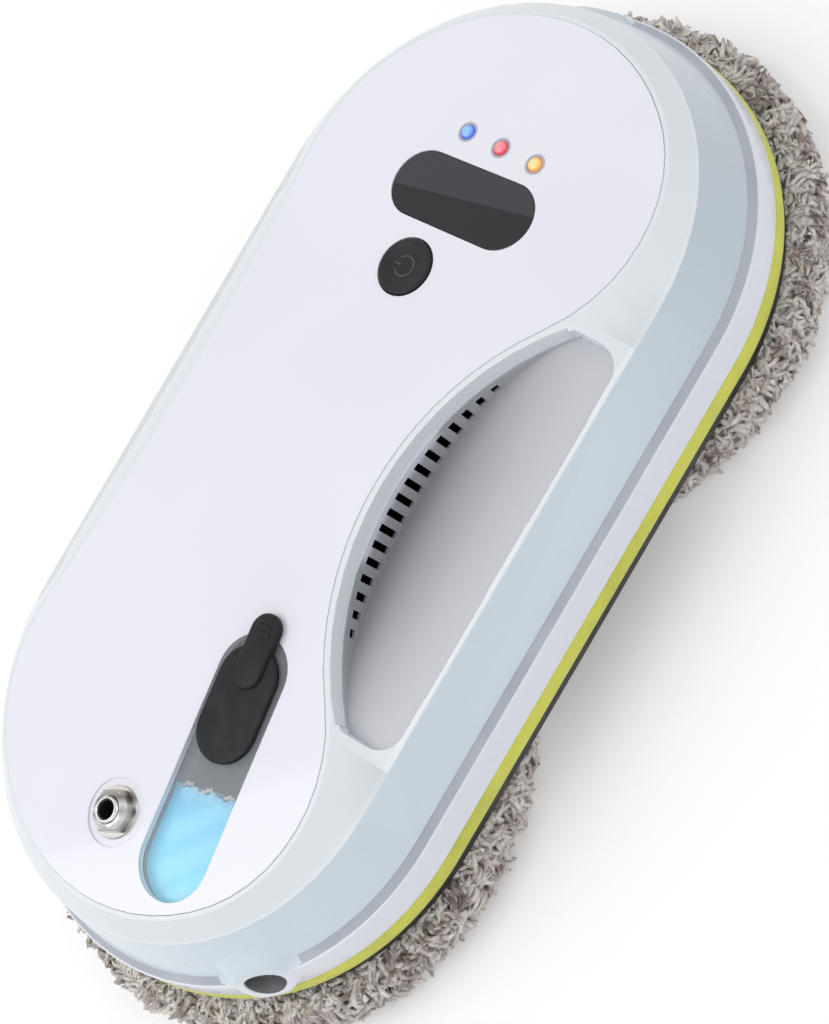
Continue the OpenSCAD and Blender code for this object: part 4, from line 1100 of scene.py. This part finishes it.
def pile_tree(name, strands, material):
    """Scatters leaning strands over a pad's felt, in clumps that share a lean."""
    tree = Tree(name, {"Strands per square metre": 300000.0, "Seed": 3, "Length": 1.0, "Lean": 1.3})
    vector = "ShaderNodeVectorMath"
    seed = tree.given("Seed")
    normal = tree.add("GeometryNodeInputNormal")
    face = tree.maths("LESS_THAN", tree.add("ShaderNodeSeparateXYZ", {}, {0: normal}, out=2), -0.8)
    thin = tree.maths("MULTIPLY_ADD", face, -0.72, 1.0)
    thick = tree.maths("MULTIPLY", tree.given("Strands per square metre"), thin)
    roots = tree.add("GeometryNodeDistributePointsOnFaces", {"distribute_method": "RANDOM"},
                     {"Mesh": tree.given("Geometry"), "Density": thick, "Seed": seed})
    clump = tree.add("ShaderNodeTexNoise", {"noise_dimensions": "3D"}, {"Scale": 170.0, "Detail": 1.0}, out=1)
    lean = tree.maths("SUBTRACT", clump, (0.5, 0.5, 0.5), kind=vector)
    many = tree.maths("MULTIPLY", tree.given("Lean"), 6.5)
    grown = tree.add(vector, {"operation": "SCALE"}, {0: lean, "Scale": many})
    stray = tree.add("FunctionNodeRandomValue", {"data_type": "FLOAT_VECTOR"},
                     {"Min": (-0.5, -0.5, -0.5), "Max": (0.5, 0.5, 0.5), "Seed": seed})
    way = tree.maths("ADD", roots.node.outputs["Normal"], grown, kind=vector)
    way = tree.maths("ADD", way, stray, kind=vector)
    turned = tree.add("FunctionNodeAlignRotationToVector", {"axis": "Z"}, {"Vector": way})
    twist = tree.add("FunctionNodeAxisAngleToRotation", {},
                     {"Axis": (0.0, 0.0, 1.0), "Angle": tree.random(0.0, 6.283, seed)})
    spun = tree.add("FunctionNodeRotateRotation", {"rotation_space": "LOCAL"}, {0: turned, 1: twist})
    tall = tree.maths("MULTIPLY", tree.random(0.65, 1.25, 17), tree.given("Length"))
    girth = tree.random(0.75, 1.3, 29)
    scale = tree.add("ShaderNodeCombineXYZ", {}, {"X": girth, "Y": girth, "Z": tall})
    choice = tree.add("GeometryNodeJoinGeometry")
    for strand in strands:
        info = tree.add("GeometryNodeObjectInfo", {"transform_space": "ORIGINAL"},
                        {"Object": strand, "As Instance": True}, out=4)
        tree.tree.links.new(info, choice.node.inputs[0])
    stood = tree.add("GeometryNodeInstanceOnPoints", {},
                     {"Points": roots, "Instance": choice, "Pick Instance": True, "Rotation": spun,
                      "Scale": scale})
    kept = tree.add("GeometryNodeStoreNamedAttribute", {"data_type": "FLOAT", "domain": "INSTANCE"},
                    {"Geometry": stood, "Name": "tone", "Value": tree.random(0.0, 1.0, 41)})
    return tree.finish(kept, material)


def settle_pile(piece, side):
    """Presses the pile flat under the pad and keeps it clear of the base plate at any turn."""
    centre = SIDES[side] * WHEEL_X * MM
    mesh = piece.data
    at = np.empty(len(mesh.vertices) * 3, dtype=np.float32)
    mesh.vertices.foreach_get("co", at)
    at = at.reshape(-1, 3)
    x, y, z = at[:, 0] - centre, at[:, 1], at[:, 2]
    r = np.hypot(x, y)
    low, roof, limit, bore = PILE_FOOT * MM, PILE_ROOF * MM, look().pile_reach * MM, PAD_BORE * MM
    for level, past in ((low, z < low), (roof, z > roof)):
        z[past] = level + (z[past] - level) * 0.02
    far, inner = r > limit, r < bore
    for line in (x, y):
        line[far] *= (limit + (r[far] - limit) * 0.1) / r[far]
        line[inner] *= bore / np.maximum(r[inner], 1e-6)
    at[:, 0], at[:, 1], at[:, 2] = x + centre, y, z
    mesh.vertices.foreach_set("co", at.reshape(-1))
    mesh.update()


def thick_pile(side):
    """One microfibre pad: felt with a dense mottled pile on its wall, rim and face."""
    ground = pile_ground(side)
    felt = ground.data.copy()
    work = bmesh.new()
    work.from_mesh(ground.data)
    centre = Vector((SIDES[side] * WHEEL_X * MM, 0.0, 0.0))

    def bare(face):
        at = face.calc_center_median()
        reach = (at - centre).xy.length
        above = face.normal.z > 0.5 or at.z > DISC_Z * MM
        return reach < FELT_BORE * MM or (reach < DISC_R * MM and above)

    bmesh.ops.delete(work, geom=[f for f in work.faces if bare(f)], context="FACES")
    work.to_mesh(ground.data)
    work.free()
    strands = [strand_mesh("strand_%s_%d" % (side, k), bend) for k, bend in enumerate((105.0, 150.0, 200.0))]
    tree = pile_tree("Pile " + side, strands, finish_named("microfibre"))
    thick = look().pile_density * 1.0
    piece = tree_piece("pad_pile_" + side, tree,
                       {"Strands per square metre": thick, "Seed": 3 + SIDES[side],
                        "Length": look().pile_length, "Lean": 1.0}, ground.data.copy())
    for extra in strands + [ground]:
        bpy.data.objects.remove(extra)
    # The felt joins the pile as the ground it grows from
    work = bmesh.new()
    work.from_mesh(piece.data)
    work.from_mesh(felt)
    work.to_mesh(piece.data)
    work.free()
    settle_pile(piece, side)
    piece.data.shade_smooth()
    return piece


# Sizes and colours that a user would change

class RobotLook(bpy.types.PropertyGroup):
    """Colours and pile of the robot."""

    plate_colour: bpy.props.FloatVectorProperty(
        name="Plate", description="Colour of the glossy top plate", subtype="COLOR", size=3,
        default=(0.86, 0.865, 0.94), min=0.0, max=1.0)
    wall_colour: bpy.props.FloatVectorProperty(
        name="Wall", description="Colour of the side wall", subtype="COLOR", size=3,
        default=(0.69, 0.78, 0.86), min=0.0, max=1.0)
    flank_colour: bpy.props.FloatVectorProperty(
        name="Flank", description="Colour of the sloping flank under the plate", subtype="COLOR", size=3,
        default=(0.78, 0.83, 0.87), min=0.0, max=1.0)
    rim_colour: bpy.props.FloatVectorProperty(
        name="Rim", description="Colour of the lower rim", subtype="COLOR", size=3,
        default=(0.82, 0.845, 0.92), min=0.0, max=1.0)
    gasket_colour: bpy.props.FloatVectorProperty(
        name="Gasket", description="Colour of the soft edge gasket", subtype="COLOR", size=3,
        default=(0.70, 0.71, 0.09), min=0.0, max=1.0)
    pile_density: bpy.props.FloatProperty(
        name="Pile density", description="Strands on a square metre of pad", default=900000.0, min=1000.0)
    pile_length: bpy.props.FloatProperty(
        name="Pile length", description="Length of a strand against six millimetres", default=1.0,
        min=0.2, max=2.0)
    pile_reach: bpy.props.FloatProperty(
        name="Pile reach", description="Farthest reach of the pile from the wheel axis in millimetres",
        default=82.0, min=76.0, max=86.0)


class RobotStage(bpy.types.PropertyGroup):
    """Light, floor and camera of the picture."""

    lens: bpy.props.FloatProperty(
        name="Lens", description="Focal length of the camera in millimetres", default=62.1, min=10.0,
        subtype="DISTANCE_CAMERA")
    key_power: bpy.props.FloatProperty(
        name="Key light", description="Power of the large softbox in watts", default=4.6, min=0.0)
    fill_power: bpy.props.FloatProperty(
        name="Fill light", description="Power of the small side light in watts", default=0.8, min=0.0)
    sky_level: bpy.props.FloatProperty(
        name="Sky", description="Level of the plain surrounding light", default=0.72, min=0.0)
    floor_shade: bpy.props.FloatProperty(
        name="Floor", description="Brightness of the pale floor", default=0.86, min=0.0, max=1.0)


# The steps, one operator for each group of pieces

def tidy_node(node, finish):
    """Gives a solid that stays its finish on every material slot."""
    solid = NODES[node]
    if not solid.material_slots:
        solid.data.materials.append(None)
    for slot in solid.material_slots:
        slot.link = "OBJECT"
        slot.material = finish_named(finish)


class ROBOT_OT_body(bpy.types.Operator):
    """Make the plate, the housing, the rim, the groove, the gasket and the base"""
    bl_idname = "robot.body"
    bl_label = "Body shells"

    def execute(self, context):
        own(smooth_copy("top_panel", "top_plate", 30.0, 0.55), "plate_white", "top_panel")
        own(smooth_copy("upper_housing", "housing_shell", 24.0), "housing_white", "upper_housing")
        # The recess floor and wall carry painted shade and light.
        own(recess_floor(), "tub_grey", "grip_tub")
        own(recess_wall(), "tub_grey")
        own(recess_lip(), "housing_white")
        rim = [(BODY_R, RIM_Z), (RIM_TOP_R, TRIM_Z), (BAND_BACK, TRIM_Z), (BAND_BACK, 34.8), (71.0, 29.8),
               (71.0, RIM_Z)]
        own(pierced(swept_band("lower_rim", rim, "housing_white", 0.5)), "housing_white", "lower_housing")
        groove = [(RIM_TOP_R - 0.35, TRIM_Z - 0.1), (73.3, TRIM_Z + 0.5), (HOUSE_R - 0.3, HOUSE_Z),
                  (BAND_BACK, HOUSE_Z), (BAND_BACK, TRIM_Z - 0.1)]
        own(pierced(swept_band("groove_band", groove, "trim_grey", 0.25)), "trim_grey", "groove_trim")
        gasket = [(GASKET_BACK, GASKET_Z), (BODY_R + 0.2, GASKET_Z), (BODY_R + 0.6, 22.9),
                  (BODY_R + 0.6, 25.4), (BODY_R + 0.1, RIM_Z), (GASKET_BACK, RIM_Z)]
        own(swept_band("edge_gasket_band", gasket, "lime_rubber", 0.6), "lime_rubber", "edge_gasket")
        own(smooth_copy("base_plate", "base_tray", 30.0, 0.3), "black_plastic", "base_plate",
            slot="base_black")
        return {"FINISHED"}


class ROBOT_OT_cowls(bpy.types.Operator):
    """Make the swellings round the two spray holes"""
    bl_idname = "robot.cowls"
    bl_label = "Spray cowls"

    def execute(self, context):
        for side in SIDES:
            cowl, cup = swelling(side)
            own(cowl, "housing_white", "nozzle_cowl_" + side)
            # The dark cup is painted shade inside the spray hole.
            own(cup, "duct_grey")
        return {"FINISHED"}


class ROBOT_OT_tank(bpy.types.Operator):
    """Make the tank, its window, the water and the fill plug"""
    bl_idname = "robot.tank"
    bl_label = "Water tank"

    def execute(self, context):
        own(smooth_copy("water_tank", "tank_walls", 30.0), "tank_grey", "water_tank")
        own(smooth_copy("tank_window", "tank_clear_lid", 30.0, 0.3), "tank_clear", "tank_window")
        own(water_body(), "water_blue", "tank_water")
        own(foam_line(), "pump_white", slot="water_blue")
        pad, *others = fill_plug()
        own(pad, "plug_rubber", "tank_plug", body="plug")
        for piece in others:
            own(piece, "plug_rubber", body="plug")
        return {"FINISHED"}


class ROBOT_OT_controls(bpy.types.Operator):
    """Make the status lenses, the infrared window and the power button"""
    bl_idname = "robot.controls"
    bl_label = "Controls"

    def execute(self, context):
        for node, centre in LED_AT.items():
            dome, seat = status_lens(node, centre)
            own(dome, node.replace("led", "lens"), node)
            own(seat, "bezel_white", slot="plate_white")
        own(smooth_copy("ir_window", "infrared_window", 30.0, 0.35), "window_black", "ir_window")
        own(button_cap(), "button_black", "power_button", body="button")
        own(power_mark(), "symbol_grey", slot="button_black", body="button")
        return {"FINISHED"}


class ROBOT_OT_inlet(bpy.types.Operator):
    """Make the threaded power inlet and its nut"""
    bl_idname = "robot.inlet"
    bl_label = "Power inlet"

    def execute(self, context):
        own(inlet_barrel(), "bright_metal", "jack_body", slot="metal_bright")
        nut, *others = inlet_nut()
        own(nut, "nut_metal", "jack_nut", slot="metal_bright")
        for piece in others:
            own(piece, "nut_metal", slot="metal_bright")
        own(inlet_lining(), "black_plastic", slot="base_black")
        return {"FINISHED"}


class ROBOT_OT_pads(bpy.types.Operator):
    """Grow the microfibre pile of both pads"""
    bl_idname = "robot.pads"
    bl_label = "Cleaning pads"

    def execute(self, context):
        for side in SIDES:
            pad = own(thick_pile(side), "microfibre", "pad_" + side, body="wheel_" + side)
        return {"FINISHED"}


class ROBOT_OT_inner(bpy.types.Operator):
    """Give the pieces inside and under the body their finishes"""
    bl_idname = "robot.inner"
    bl_label = "Inner pieces"

    def execute(self, context):
        for finish, nodes in INNER.items():
            for node in nodes:
                for side in SIDES if "*" in node else [""]:
                    tidy_node(node.replace("*", side), finish)
        return {"FINISHED"}


class ROBOT_OT_stage(bpy.types.Operator):
    """Set the camera, the lights, the sky and the pale floor"""
    bl_idname = "robot.stage"
    bl_label = "Stage"

    def execute(self, context):
        scene = context.scene
        stage = scene.robot_stage
        scene.view_settings.view_transform = "Standard"
        camera = bpy.data.objects.new("camera", bpy.data.cameras.new("camera"))
        scene.collection.objects.link(camera)
        camera.data.lens = stage.lens
        camera.data.sensor_fit = "AUTO"
        camera.data.sensor_width = 36.0
        camera.data.clip_start = 0.02
        camera.data.clip_end = 20.0
        right = Vector((0.50490458, -0.70872059, -0.49273369))
        down = Vector((-0.863099, -0.40693842, -0.29910073))
        ahead = Vector((0.01146657, 0.57629528, -0.8171611))
        turn = Matrix((right, -down, -ahead)).transposed()
        camera.matrix_world = Matrix.Translation(Vector((-6.554, -292.597, 423.932)) * MM) @ turn.to_4x4()
        scene.camera = camera
        self.light(scene, "softbox", stage.key_power, 0.9, (-0.55, 0.35, 1.15))
        self.light(scene, "side_light", stage.fill_power, 0.5, (0.75, -0.85, 0.55))
        self.sky(scene, stage)
        self.floor(scene, stage)
        return {"FINISHED"}

    def light(self, scene, name, power, size, at):
        lamp = bpy.data.lights.new(name, "AREA")
        lamp.shape = "SQUARE"
        lamp.size = size
        lamp.energy = power
        holder = bpy.data.objects.new(name, lamp)
        holder.location = at
        holder.rotation_euler = (-Vector(at)).to_track_quat("-Z", "Y").to_euler()
        scene.collection.objects.link(holder)

    def seen(self, tree):
        """One where the camera, a reflection or a clear piece looks, zero for plain light."""
        ray = tree.nodes.new("ShaderNodeLightPath")
        camera, glossy, clear = (Val(tree, ray.outputs["Is %s Ray" % kind])
                                 for kind in ("Camera", "Glossy", "Transmission"))
        return (camera + glossy + clear).maths("MINIMUM", 1.0)

    def sky(self, scene, stage):
        world = bpy.data.worlds.new("plain sky")
        scene.world = world
        world.use_nodes = True
        tree = world.node_tree
        sky = tree.nodes["Background"]
        sky.inputs["Color"].default_value = (1.0, 1.0, 1.0, 1.0)
        feed(tree, sky.inputs["Strength"], self.seen(tree) * (1.0 - stage.sky_level) + stage.sky_level)

    def floor(self, scene, stage):
        mesh = bpy.data.meshes.new("floor")
        mesh.from_pydata([(-4, -4, 0), (4, -4, 0), (4, 4, 0), (-4, 4, 0)], [], [(0, 1, 2, 3)])
        floor = bpy.data.objects.new("floor", mesh)
        scene.collection.objects.link(floor)
        f = Finish("pale floor")
        level = stage.floor_shade
        f.set(Base_Color=f.mix(f.noise(3.0), (level, level, level), (level, level, level * 1.005)),
              Roughness=0.9, Specular_IOR_Level=0.1)
        glow = add_node(f.tree, "ShaderNodeEmission", {}, {"Strength": self.seen(f.tree) * 0.22})
        both = f.tree.nodes.new("ShaderNodeAddShader")
        f.tree.links.new(f.surface.outputs[0], both.inputs[0])
        f.tree.links.new(glow, both.inputs[1])
        f.tree.links.new(both.outputs[0], f.output.inputs["Surface"])
        mesh.materials.append(f.material)


STEPS = (ROBOT_OT_stage, ROBOT_OT_body, ROBOT_OT_cowls, ROBOT_OT_tank, ROBOT_OT_controls, ROBOT_OT_inlet,
         ROBOT_OT_inner, ROBOT_OT_pads)


class ROBOT_PT_panel(bpy.types.Panel):
    """Lists the steps and the settings in the sidebar."""
    bl_idname = "ROBOT_PT_panel"
    bl_label = "Window robot"
    bl_space_type = "VIEW_3D"
    bl_region_type = "UI"
    bl_category = "Window robot"

    def draw(self, context):
        for group in (context.scene.robot_look, context.scene.robot_stage):
            box = self.layout.box()
            for key in group.__annotations__:
                box.prop(group, key)
        for step in STEPS:
            self.layout.operator(step.bl_idname)


CLASSES = (RobotLook, RobotStage, *STEPS, ROBOT_PT_panel)


def look():
    return bpy.context.scene.robot_look


def register():
    for kind in CLASSES:
        bpy.utils.register_class(kind)
    bpy.types.Scene.robot_look = bpy.props.PointerProperty(type=RobotLook)
    bpy.types.Scene.robot_stage = bpy.props.PointerProperty(type=RobotStage)


def unregister():
    del bpy.types.Scene.robot_stage
    del bpy.types.Scene.robot_look
    for kind in reversed(CLASSES):
        bpy.utils.unregister_class(kind)


def main():
    register()
    for step in STEPS:
        group, name = step.bl_idname.split(".")
        getattr(getattr(bpy.ops, group), name)()


if __name__ == "__main__":
    main()
